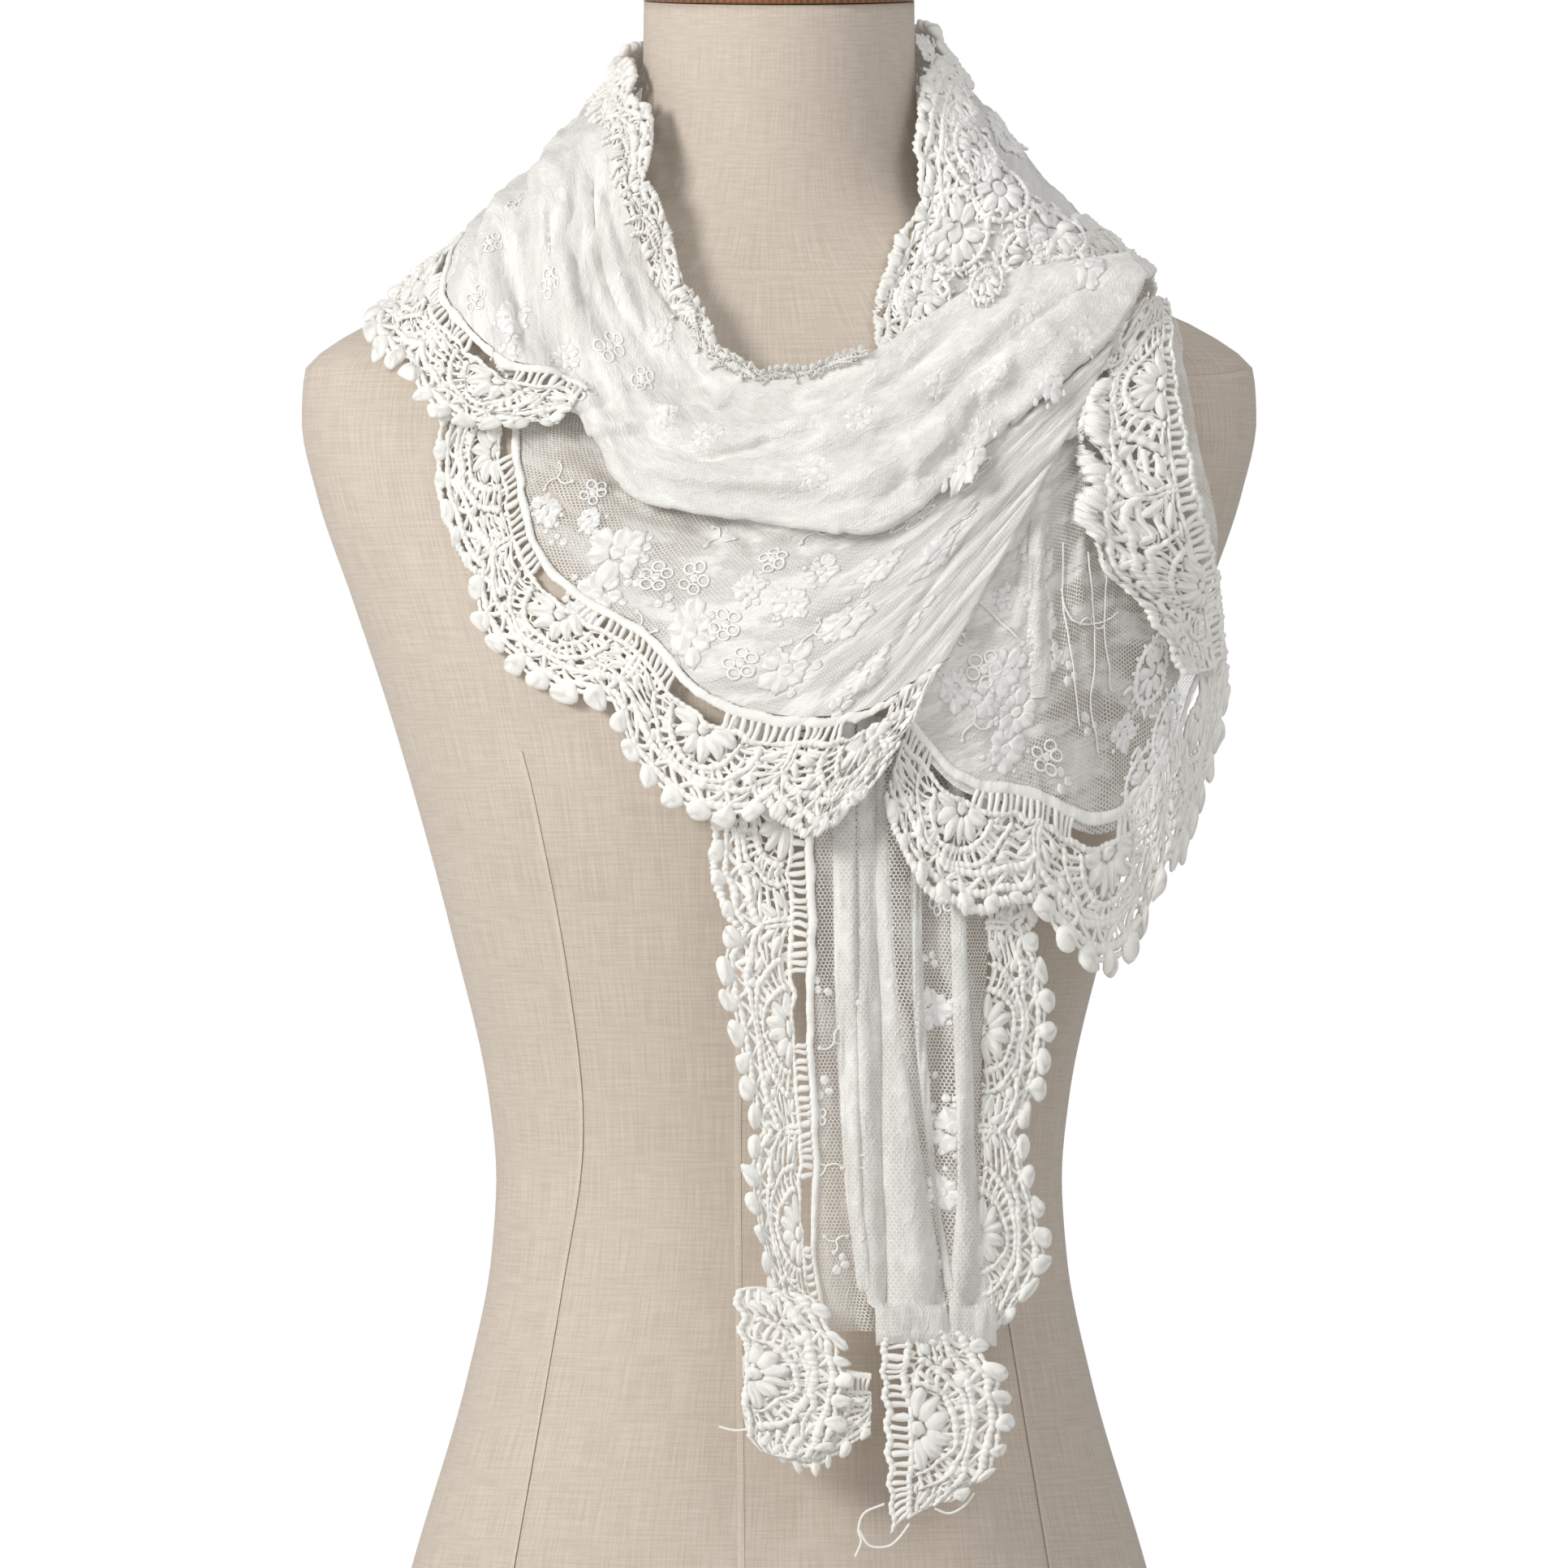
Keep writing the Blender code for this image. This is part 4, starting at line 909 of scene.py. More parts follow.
def scallop(kind, start, taped=True):
    # one repeat of the crochet, flat: u along the border, w out from its seam. Nothing within start of the
    # seam is worked where the rest of the border is turned under. Kinds from 3 up are worked close, with no slit.
    cut, skin, close = borderCut, Skin(), kind >= 3
    rng = np.random.default_rng(kind * 10 + 3)
    repeat, chain, chainAt = cut["repeat"], cut["chain"], cut["chainAt"]
    u = np.linspace(0, repeat, 61)
    centre = np.array(cut["fanAt"])

    def yarn(path, radius, height, **how):
        if np.mean(np.asarray(path, float)[:, 1]) > start:
            strand(skin, path, radius, height, **how)

    def chainAlong(w, radius, height, **how):
        yarn(np.stack([u, 0 * u + w], -1), radius, height, **how)

    def outerArc(turn):
        return cut["fanOuter"] + cut["fanSpread"] * np.sin(turn) ** 2

    if taped:
        chainAlong(2.2 + 0.15 * np.sin(u / 3.1), cut["tape"], 1.35, flat=0.5, sides=8, bead=0.06)
    else:
        chainAlong(3.0 + 0.7 * np.sin(u / 1.5), 1.3, 1.3, bead=0.25)
    chainAlong(chainAt, 1.15, 1.35, bead=0.2)
    for place in cut["barsAt"] + (cut["slitBarsAt"] if close else []):
        lean = rng.uniform(-0.9, 0.9)
        yarn([(place, 4.0), (place + lean, chainAt)], 1.05, 1.3)
    for turn in np.radians(cut["petalTurns"]):
        spot = centre + np.array([math.sin(turn), math.cos(turn)]) * cut["petalReach"]
        if spot[1] > start:
            dome(skin, *spot, 5.2, 2.75, 1.4, 1.6, math.pi / 2 - turn, lumps=3)
    if centre[1] > start:
        dome(skin, *(centre + (0, 1.0)), 2.8, 2.4, 1.5, 1.7, lumps=5)
    turns = np.radians(np.linspace(-84, 84, 41))
    rays = np.stack([np.sin(turns), np.cos(turns)], -1)
    yarn(centre + cut["fanInner"] * rays, chain, 1.5, bead=0.22)
    yarn(centre + outerArc(turns)[:, None] * rays, chain, 1.5, bead=0.22)
    for turn in np.radians(np.linspace(-80, 80, cut["bars"])):
        way = np.array([math.sin(turn), math.cos(turn)])
        yarn([centre + way * cut["fanInner"], centre + way * outerArc(turn)], 0.78, 1.35)
    for side in (0, 1):
        at, way = side * repeat, 1 - 2 * side
        yarn([(at + way * 0.9, 10.5), (at + way * 1.1, 21.0)], 1.0, 1.4, bead=0.2)
        for spot, turn in ((4.6, 0.9), (8.0, 0.45)):
            w = 15.5 if spot > 6 else 19.0
            if w > start:
                dome(skin, at + way * spot, w, 3.5, 1.6, 1.2, 1.5, turn if side == 0 else math.pi - turn, lumps=2)
        for w, reach in cut["sideBars"]:
            yarn([(at + way * 1.0, w), (at + way * reach, w + 1.8)], 0.8, 1.3)
    inside, outside = cut["zigzag"]
    chainAlong(edgeAt(u, inside), 1.4, 1.6, bead=0.2)
    chainAlong(edgeAt(u, outside), 1.5, 1.7, bead=0.2)
    pitch = repeat / cut["triangles"]
    for i in range(cut["triangles"]):
        low, mid, high = i * pitch, (i + 0.5) * pitch + rng.uniform(-0.8, 0.8), (i + 1) * pitch
        corners = np.array([(low, edgeAt(low, inside)), (mid, edgeAt(mid, outside)), (high, edgeAt(high, inside))])
        for a, b in zip(corners, corners[1:]):
            bend = (a + b) / 2 + rng.uniform(-0.5, 0.5, 2)
            yarn([a, bend, b], 1.0, 1.5)
    for spot in cut["buds"]:
        if spot[1] > start:
            dome(skin, *spot, 2.3, 1.9, 1.3, 1.5, rng.uniform(0, 3), lumps=4, around=8, rings=5)
    for _ in range(cut["looseStitches"] * (2 if close else 1)):
        at, share = rng.uniform(1, repeat - 1), rng.uniform(0, 1)
        w = 11.5 + (float(edgeAt(at, 9)) - 11.5) * share
        way = np.array([at, w]) - centre
        if np.hypot(*way) < cut["fanInner"] - 1 and not close:
            continue
        lean = math.atan2(way[1], way[0]) + rng.choice([0, 0, math.pi / 2]) + rng.uniform(-0.35, 0.35)
        half = rng.uniform(1.5, 3.0)
        step = ray(lean) * half
        side = np.array([-step[1], step[0]]) * rng.uniform(-0.4, 0.4)
        path = np.array([(at, w) - step, (at, w) + side, (at, w) + step])
        yarn(path, rng.uniform(0.65, 1.0), rng.uniform(1.0, 1.6), step=1.4)
    pitch = repeat / cut["balls"]
    for i in range(cut["balls"]):
        at = (i + 0.5) * pitch + rng.uniform(-0.5, 0.5)
        size = cut["ballRadius"] * rng.uniform(0.86, 1.08)
        w = float(edgeAt(at, 4.3)) + rng.uniform(-0.4, 0.4)
        if kind % 3 == 2:
            size *= 0.72
        if close:
            size *= 0.75
        turn = rng.uniform(0, 3)
        dome(skin, at, w, size * 1.04, size, size * 0.52, 2.3, turn, lumps=3, around=16, rings=8, depth=0.06)
    if kind % 3 == 2:
        chainAlong(edgeAt(u, 3.4), 1.8, 1.9, flat=0.8, bead=0.25)
    else:
        chainAlong(edgeAt(u, 5.4), 0.9, 1.5, bead=0.2)
    return skin


scallopKinds = {}


def border(
    name, node, cloth, width, atLast, start=0, end=None, shown=46.0, kinds=(0, 1, 2), repeat=None, seed=1,
    turned=False, shift=0.0, lift=0.0, extra=None, taped=True
):
    # a length of crochet border on a cloth's long edge; shown is how much of its width isn't turned under.
    # A turned one runs across the cloth instead, with its scallops towards the end.
    cut, sheet, skin, ground = borderCut, cloth.sheet, Skin(), Skin()
    end = end or sheet.length
    repeats = 1 if turned else max(1, round((end - start) / (repeat or cut["repeat"])))
    for k in range(repeats):
        kind = kinds[(k * 7 + seed) % len(kinds)]
        key = (kind, shown, taped)
        if key not in scallopKinds:
            scallopKinds[key] = scallop(kind, cut["width"] - shown, taped)

        def way(points, k=k):
            along = points[:, 0] + k * cut["repeat"]
            push = cut["unevenness"] * np.clip(points[:, 1] / 9, 0.3, 1)
            u = along + push * softNoise(along / 7 + seed, points[:, 1] / 7, seed)
            u = u + 0.35 * push * softNoise(along / 2.6, points[:, 1] / 2.6 + seed, seed + 3)
            w = points[:, 1] + push * softNoise(along / 6, points[:, 1] / 8 + seed, seed + 5)
            h = points[:, 2] * (1 + 0.22 * softNoise(along / 4, points[:, 1] / 4, seed + 7)) + lift
            run, q = u / (repeats * cut["repeat"]), (cut["width"] - w) / shown
            if turned:
                return cloth.at(end - q * (end - start), np.clip(run, 0.01, 0.99) + shift, h)
            s = np.clip(start + run * (end - start), start + 0.1, end - 0.1)
            share = sheet.borderShare(s, width)
            v = 1 - share * q if atLast else share * q
            return cloth.at(s, v + shift, h)

        skin.join(scallopKinds[key].placed(way))
        web = groundWeb(cut["width"] - shown).placed(way)
        web.uvs = [web.uvs[0] + (k * cut["repeat"], seed * 37)]
        ground.join(web)
    if extra:
        skin.join(extra)
    place(ground.make(name + "Ground", webCotton), "lace")
    return place(skin.make(name, cotton), "lace", node)


def alongBorder(sheet, width, atLast, share=1.0):
    # the line where a border meets its net, as a share of the sheet's width
    def line(s):
        taken = share * sheet.borderShare(s, width)
        return 1 - taken if atLast else taken

    return line


rollTurn = math.radians(165)  # how far round a rolled edge goes


def rolled(points, normals, uvs, radius, side, steps=6):
    # turns one side of a grid under, round a soft edge: side is first, last, start or end
    flip = side in ("first", "start")
    if side in ("start", "end"):
        points, normals, uvs = (x.transpose(1, 0, 2) for x in (points, normals, uvs))
    if flip:
        points, normals, uvs = points[:, ::-1], normals[:, ::-1], uvs[:, ::-1]
    edge, normal = points[:, -1], normals[:, -1]
    outwards = edge - points[:, -3]
    outwards = unit(outwards - normal * (outwards * normal).sum(-1)[:, None])
    extra, extraUv = [], []
    for i in range(1, steps + 1):
        angle = rollTurn * i / steps
        extra.append(edge + outwards * radius * math.sin(angle) + normal * radius * (math.cos(angle) - 1))
        extraUv.append(uvs[:, -1] + (uvs[:, -1] - uvs[:, -2]) * i)
    count = len(extra)
    points = np.concatenate([points, np.stack(extra, 1)], 1)
    normals = np.concatenate([normals, np.repeat(normals[:, -1:], count, 1)], 1)
    uvs = np.concatenate([uvs, np.stack(extraUv, 1)], 1)
    if flip:
        points, normals, uvs = points[:, ::-1], normals[:, ::-1], uvs[:, ::-1]
    if side in ("start", "end"):
        points, normals, uvs = (x.transpose(1, 0, 2) for x in (points, normals, uvs))
    return points, normals, uvs


def netShell(
    name, node, cloth, low, high, material, start=0, end=None, rolls=(), radius=2.2, step=1.7, lift=0.6
):
    # a thin shell of net over part of a cloth, between two shares of its width
    sheet = cloth.sheet
    end = end or sheet.length
    rows = int((end - start) / step) + 2
    s = np.linspace(start, end, rows)[:, None]
    vLow, vHigh = (edge(s) if callable(edge) else edge + 0 * s for edge in (low, high))
    width = eased(sheet.at, sheet.width, s)
    columns = int(((vHigh - vLow) * width).max() / step) + 2
    v = vLow + (vHigh - vLow) * np.linspace(0, 1, columns)[None, :]
    points = cloth.at(s + 0 * v, v, lift)
    normals = cloth.at(s + 0 * v, v, lift + 1.0) - points
    uvs = np.stack(np.broadcast_arrays(s + 0 * v, v * width), -1)
    for side in rolls:
        points, normals, uvs = rolled(points, normals, uvs, radius, side)
    skin = Skin()
    skin.add(points, uvs, facing(points, normals))
    return place(skin.make(name, material), "net", node)


petalCounts = {"blossom": 7, "open": 5, "bud": 3, "tendril": 3, "rosette": 8}


def motif(kind, size, seed):
    # a worked motif, flat: a full blossom, an open outlined flower, a bud pair, a tendril or a crochet rosette
    skin, rng = Skin(), np.random.default_rng(seed)
    turn = rng.uniform(0, 2 * math.pi)
    petals = petalCounts[kind]
    for i in range(petals):
        angle = turn + 2 * math.pi * (i + rng.uniform(-0.2, 0.2)) / petals if kind != "bud" else turn + 1.6 * i
        way = ray(angle)
        if kind in ("blossom", "bud"):
            reach, wide = size * rng.uniform(0.2, 0.36), size * rng.uniform(0.13, 0.2)
            dome(skin, *(way * reach), wide * 1.15, wide, 0.55, 0.1, angle, lumps=5, around=12, rings=5, depth=0.17)
        elif kind == "rosette":
            long, wide = size * 0.17, size * 0.105
            dome(skin, *(way * size * 0.29), long, wide, 1.3, 0.8, angle, lumps=5, around=12, rings=6, depth=0.14)
        elif kind == "open":
            a = np.linspace(0, 2 * np.pi, 13)
            loop = way * size * 0.3 + size * 0.17 * np.stack([np.cos(a), 0.8 * np.sin(a)], -1)
            strand(skin, loop, 0.55, 0.45, flat=0.7, step=1.0)
        else:
            t = np.linspace(0, 1, 9)
            side = np.array([-way[1], way[0]])
            path = way * (t * size * 0.6)[:, None] + side * (np.sin(t * 2.6) * size * 0.18)[:, None]
            strand(skin, path, 0.45, 0.5)
            dome(skin, *path[-1], 1.3, 1.0, 0.6, 0.5, angle, around=8, rings=4)
    if kind in ("blossom", "open", "rosette"):
        dome(skin, 0, 0, size * 0.15, size * 0.13, 0.6, 0.25, lumps=5, around=9, rings=5, depth=0.15)
    if kind == "blossom":
        for _ in range(9):
            angle, reach = rng.uniform(0, 2 * math.pi), size * rng.uniform(0.34, 0.58)
            wide = size * rng.uniform(0.05, 0.09)
            dome(skin, *(ray(angle) * reach), wide, wide, 0.4, 0.1, angle, lumps=3, around=8, rings=4)
    if kind == "rosette":
        a = np.linspace(0, 2 * np.pi, 41)
        ring = np.stack([np.cos(a), np.sin(a)], -1)
        strand(skin, ring * size * 0.5, 1.2, 0.9, bead=0.2)
        for angle in np.linspace(0, 2 * np.pi, 17)[:-1] + turn:
            way = ray(angle)
            strand(skin, [way * size * 0.42, way * size * 0.62], 0.75, 0.8)
        for _ in range(18):
            angle, reach = rng.uniform(0, 2 * math.pi), size * rng.uniform(0.28, 0.74)
            spot, lean = ray(angle) * reach, rng.uniform(0, math.pi)
            step = ray(lean) * rng.uniform(1.4, 2.8)
            path = [spot - step, spot + step[::-1] * 0.3, spot + step]
            strand(skin, path, rng.uniform(0.6, 0.95), rng.uniform(0.8, 1.5), step=1.4)
    return skin


def sewOn(skin, cloth, s, v, flat, height=0.7, relief=1.0):
    # lays a flat motif on a cloth, its middle at s, v
    width = float(eased(cloth.sheet.at, cloth.sheet.width, s))
    skin.join(flat.placed(lambda p: cloth.at(s + p[:, 0], v + p[:, 1] / width, p[:, 2] * relief + height)))


def embroidery(name, cloth, sprigs, height=0.7, relief=1.0, scale=1.0):
    # motifs by their rows: x, z as seen from the front, how wide it is, and which kind
    skin = Skin()
    for i, (x, z, size, kind) in enumerate(sprigs):
        sewOn(skin, cloth, *seenOn(cloth, x, z), motif(kind, size * scale, i * 13 + len(name)), height, relief)
    return place(skin.make(name, floss), "net")


def seenPath(cloth, seen, count):
    # the places on a cloth along a smooth path that is seen from the front
    return through([seenOn(cloth, x, z) for x, z in seen], count)


def ribbonOn(name, cloth, seen, halfWidth, height, material):
    # a narrow band of doubled net along a path that is seen from the front, with gathers along it
    along = seenPath(cloth, seen, 50)
    width = eased(cloth.sheet.at, cloth.sheet.width, along[:, 0])
    flat = np.stack([along[:, 0], along[:, 1] * width], -1)
    slope = unit(np.gradient(flat, axis=0))
    t = np.linspace(-1, 1, 15)
    wide = halfWidth * (1 + 0.12 * np.sin(np.arange(50) / 3.0))
    s = flat[:, :1] - slope[:, 1:] * t * wide[:, None]
    v = (flat[:, 1:] + slope[:, :1] * t * wide[:, None]) / width[:, None]
    ridges = 0.45 * softNoise(np.arange(50)[:, None] / 14 + 0 * s, t * halfWidth / 1.8 + 0 * s, 3)
    points = cloth.at(s, v, height * (1 - t**6) + 0.5 + ridges)
    skin = Skin()
    outwards = cloth.at(s, v, 9.0) - cloth.at(s, v, 0.0)
    skin.add(points, np.stack([s, v * width[:, None]], -1), facing(points, outwards))
    return place(skin.make(name, material), "net")


def thread(skin, points, radius, sides=8):
    # a thin round thread along points
    points = np.asarray(points, float)
    slope = unit(np.gradient(points, axis=0))
    out = unit(points * (1, 1, 0))
    out = unit(out - slope * (out * slope).sum(-1)[:, None])
    across = np.cross(slope, out)
    turn = 2 * np.pi * np.arange(sides) / sides
    ring = points[:, None] + across[:, None] * (np.cos(turn) * radius)[None, :, None]
    ring = ring + out[:, None] * (np.sin(turn) * radius)[None, :, None]
    uvs = np.stack(np.broadcast_arrays(runOf(points)[:, None], turn[None] * radius), -1)
    skin.add(ring, uvs, gridFaces(len(points), sides, True))


def looseThreads(name, cloth, paths, lift=1.5, radius=0.35):
    # thin threads that lie over a cloth, by places seen from the front
    skin = Skin()
    for path in paths:
        along = seenPath(cloth, path, 30)
        thread(skin, cloth.at(along[:, 0], along[:, 1], lift + 0 * along[:, 0]), radius)
    return place(skin.make(name, floss), "net")


def scattered(name, cloth, start, end, low, high, count, size, seed):
    # motifs for a hidden stretch, an uneven half drop of blossoms, buds and tendrils
    rng, skin = np.random.default_rng(seed), Skin()
    kinds = ("blossom", "open", "bud", "blossom", "tendril")
    for i in range(count):
        s0 = start + (end - start) * (i + 0.5) / count + rng.uniform(-3, 3)
        v0 = low + (high - low) * ((i * 0.382 + 0.2) % 1) + rng.uniform(-0.02, 0.02)
        sewOn(skin, cloth, s0, v0, motif(kinds[i % 5], size * rng.uniform(0.75, 1.15), seed * 31 + i))
    return place(skin.make(name, floss), "net")


# The dress form.
torso = {
    "pointsRound": 144,
    "ringStep": 6.0,
    "seamWidth": 1.8,
    "seamRise": 0.16,
    "neckSeamAt": 622.0,
    "neckSeamDip": 10.0,  # how much lower the neck seam runs in front
    "coverRound": 900.0,  # the cover's width in the weave, the same at each height
    "coverStretch": 1.02,
    "capLift": 3.3,
    "capSides": 96,
}


def formPoint(x, z, front):
    # the point on the form's own surface that is seen at x, z
    halfWidth, before, behind, power = formRing(np.array(float(z)))
    share = min(abs(x) / halfWidth, 1.0)
    depth = (before if front else behind) * (1 - share**power) ** (1 / power)
    return np.array([x, -depth if front else depth, z])


def roundRing(turns, halfWidth, front, back, power):
    # x and y round a ring of the form
    cos, sin = np.cos(turns), np.sin(turns)
    x = halfWidth * np.sign(cos) * np.abs(cos) ** (2 / power)
    return x, np.where(sin < 0, front, back) * np.sign(sin) * np.abs(sin) ** (2 / power)


def closeRing(skin, ring, upward):
    # closes the end of a turned piece
    count = len(ring) - 1
    verts = np.concatenate([ring[:-1], [ring[:-1].mean(0)]])
    skin.add(verts, verts[:, :2], np.zeros((0, 4)), fan(0, count, count, flip=upward))


def makeTorso():
    # the covered bust and neck, ring by ring
    count = torso["pointsRound"]
    top = formRings[-1].height + torso["capLift"]
    heights = sorted(set(np.arange(0, top, torso["ringStep"])) | {2.0, top})
    turns = np.arange(count + 1) * 2 * np.pi / count
    rings, uvs = [], []
    tips = [ring.tip for ring in formRings]
    for height in heights:
        halfWidth, front, back, power = formRing(np.array(float(height)))
        inset = max(0.0, 1 - height / baseRounding) ** 2 * baseRounding / 3
        x, y = roundRing(turns, halfWidth - inset, front - inset, back - inset, power)
        tip = float(eased(ringHeights, tips, height))
        rings.append(np.stack([x, y, height + tip * y], -1))
        run = runOf(rings[-1])
        uvs.append(np.stack([run / run[-1] * torso["coverRound"], 0 * run + height * torso["coverStretch"]], -1))
    skin = Skin()
    rings = np.array(rings)
    skin.add(rings, np.array(uvs), gridFaces(len(heights), count + 1)[:, ::-1])
    closeRing(skin, rings[0], False)
    closeRing(skin, rings[-1], True)
    return skin.make("linenTorso", linen, weld=True)


# Seams as they are seen on the form, from x, z to x, z.
seams = {
    "left princess": [(-104, 420), (-98, 395), (-86, 330), (-80, 265), (-89, 200), (-108, 90), (-122, 10)],
    "right princess": [(110, 415), (100, 390), (88, 330), (82, 265), (92, 200), (110, 90), (124, 10)],
    "centre front": [(-14, 400), (-16, 330), (-17, 250), (-16, 150), (-15, 10)],
    "right armhole": [(158, 562), (162, 569), (170, 570), (180, 571), (190, 573)],
}


def seamStrip(skin, points):
    # a pressed seam: a low strip along points on the form, its sides let into the cover
    points = np.asarray(points, float)
    out = unit(points * (1, 1, 0))
    across = unit(np.cross(unit(np.gradient(points, axis=0)), out))
    t = np.linspace(-1, 1, 7)
    wide, height = t * torso["seamWidth"], torso["seamRise"] * (1.25 * (1 - t**2) - 0.25)
    grid = points[:, None] + across[:, None] * wide[None, :, None] + out[:, None] * height[None, :, None]
    uvs = np.stack(np.broadcast_arrays(runOf(points)[:, None], wide[None]), -1)
    skin.add(grid, uvs, facing(grid, out[:, None] + 0 * grid))


def makeSeams():
    # the same seams in front and behind, and one round the root of the neck
    skin = Skin()
    for path in seams.values():
        for front in (True, False):
            seamStrip(skin, [formPoint(x, z, front) for x, z in through(path, 60)])
    turns = np.linspace(0, 2 * np.pi, 121)
    height = torso["neckSeamAt"] + torso["neckSeamDip"] * np.sin(turns)
    seamStrip(skin, np.stack([*roundRing(turns, *formRing(height).T), height], -1))
    return skin.make("torsoSeams", seamLinenPaintedHighlight)


def makeCap():
    # the turned wooden cap
    top, count = formRings[-1], torso["capSides"]
    profile = [(1.2, 0.0), (0.3, 0.3), (0.0, 1.2)]
    for i in range(9):
        angle = math.pi / 2 * i / 8
        up = capThickness - capEdgeRadius + capEdgeRadius * math.sin(angle)
        profile.append((capEdgeRadius * (1 - math.cos(angle)), up))
    for inset, up in ((14, 1.6), (capCrownInset, capCrown), (42, capCrown + 0.2)):
        profile.append((inset, capThickness + up))
    turns = 2 * np.pi * np.arange(count + 1) / count
    rings, uvs = [], []
    for inset, up in profile:
        x = (top.halfWidth + capOverhang - inset) * np.cos(turns)
        depth = np.where(np.sin(turns) < 0, top.front, top.back)
        y = (depth + capOverhang - inset) * np.sin(turns)
        rings.append(np.stack([x, y, top.height + torso["capLift"] + gap + up + top.tip * y], -1))
        uvs.append(np.stack([x, y + up * 3], -1))
    skin = Skin()
    skin.add(rings, uvs, gridFaces(len(rings), count + 1)[:, ::-1])
    closeRing(skin, rings[0], False)
    closeRing(skin, rings[-1], True)
    return skin.make("woodenCap", wood, weld=True)


place(makeTorso(), "linen", "dress_form")
place(makeSeams(), "linen")
place(makeCap(), "wood", "neck_cap")
print("form made")

# The stretch round the neck.
neckWrap = {
    "creases": [
        (-77, 658, -74, 627, -4.2, 3.8), (-74, 627, -62, 594, -3.4, 3.8), (-91, 643, -94, 613, -3.1, 3.8),
        (-54, 620, -38, 594, -2.6, 3.4), (-82, 666, -85, 627, 3.4, 4.5), (-85, 627, -81, 594, 2.6, 4.5),
        (-73, 651, -64, 615, 3.4, 3.8), (-64, 615, -53, 585, 2.9, 3.8), (-99, 660, -106, 617, 2.6, 5.2),
        (-106, 617, -99, 577, -2.3, 4.5), (-116, 643, -122, 613, -2.1, 4.5), (-66, 663, -56, 627, 2.3, 3.8),
        (-46, 617, -32, 590, 2.6, 3.0), (-119, 594, -106, 570, 1.8, 4.5), (-93, 540, -53, 552, 2.9, 3.8),
        (-53, 552, -18, 563, 2.6, 4.5), (-43, 538, 0, 547, -2.9, 3.8), (0, 547, 41, 559, -1.8, 5.1),
        (-30, 531, 16, 528, 2.1, 3.8), (30, 561, 76, 594, -1.8, 6.0), (49, 530, 81, 557, 2.6, 5.1),
        (81, 557, 95, 580, 2.2, 5.1), (41, 521, 57, 534, -1.6, 4.2), (-66, 567, -26, 570, -2.3, 3.8),
        (-73, 561, -33, 557, 2.1, 3.8), (-20, 541, 13, 554, 1.4, 4.2), (63, 541, 92, 567, -2.0, 5.1),
        (99, 554, 122, 587, 1.8, 6.0), (73, 580, 99, 604, 1.4, 6.8), (7, 570, 40, 570, -1.2, 5.1),
        (112, 567, 132, 594, -1.6, 5.1), (-89, 551, -66, 561, -2.1, 3.8),
    ],
    "folds": [Fold(*row) for row in (
        ((0.10, 0.30), (0.46, 0.34), 1.6, 8), ((0.16, 0.52), (0.50, 0.56), -1.8, 8),
        ((0.20, 0.72), (0.44, 0.66), 1.6, 7),
    )],
    "wrinkle": (1.0, 26, 7, 3),
    "leftMotifs": [
        (-132, 617, 15, "blossom"), (-116, 627, 12, "open"), (-106, 594, 16, "blossom"),
        (-122, 604, 12, "open"), (-86, 580, 14, "blossom"), (-92, 610, 12, "open"), (-106, 643, 13, "open"),
        (-68, 584, 15, "open"), (-46, 590, 12, "blossom"), (-79, 567, 13, "open"), (-112, 577, 12, "blossom"),
        (-53, 570, 12, "open"), (-66, 607, 10, "bud"),
    ],
    "cowlMotifs": [
        (13, 534, 17, "blossom"), (86, 536, 24, "blossom"), (63, 570, 14, "blossom"), (84, 567, 18, "blossom"),
        (-30, 547, 14, "blossom"), (33, 554, 14, "blossom"), (109, 570, 16, "blossom"),
        (102, 594, 14, "blossom"), (-46, 554, 12, "blossom"), (122, 587, 12, "blossom"),
    ],
    "rightMotifs": [
        (72, 630, 27, "rosette"), (90, 647, 26, "rosette"), (68, 686, 22, "rosette"), (112, 629, 26, "rosette"),
        (58, 603, 22, "rosette"), (78, 664, 20, "rosette"), (101, 621, 18, "rosette"), (92, 670, 18, "rosette"),
        (82, 610, 20, "rosette"), (125, 617, 16, "blossom"), (61, 706, 16, "blossom"),
    ],
    "backMotifs": (14, 15.0, 5),
    "cowlTaper": (40, 0.2),
    "trimNarrowing": [1, 1, 1, 1, 1, 1, 1, 1, 0.95, 0.72, 0.48, 0.62, 0.8, 0.85, 0, 0, 0],
}
neckSheet = Sheet(neckSections, neckFolds)
neckCloth = Cloth(neckSheet, neckWrap["creases"], neckWrap["wrinkle"], neckWrap["folds"])
rightEnd, rightRidge, leftRidge, cowlStart, trimEnd = neckSheet.at[neckPartings]
neckTrim = neckSheet.firstBorder * neckWrap["trimNarrowing"]
neckLow = alongBorder(neckSheet, neckTrim, False)
neckHigh = alongBorder(neckSheet, neckSheet.lastBorder, True)


def cowlHigh(s):
    # the roll's lower corner is drawn in where it comes out from under the border
    t = np.clip((s - cowlStart) / neckWrap["cowlTaper"][0], 0, 1)
    return 1 - neckWrap["cowlTaper"][1] * (1 - t * t * (3 - 2 * t))


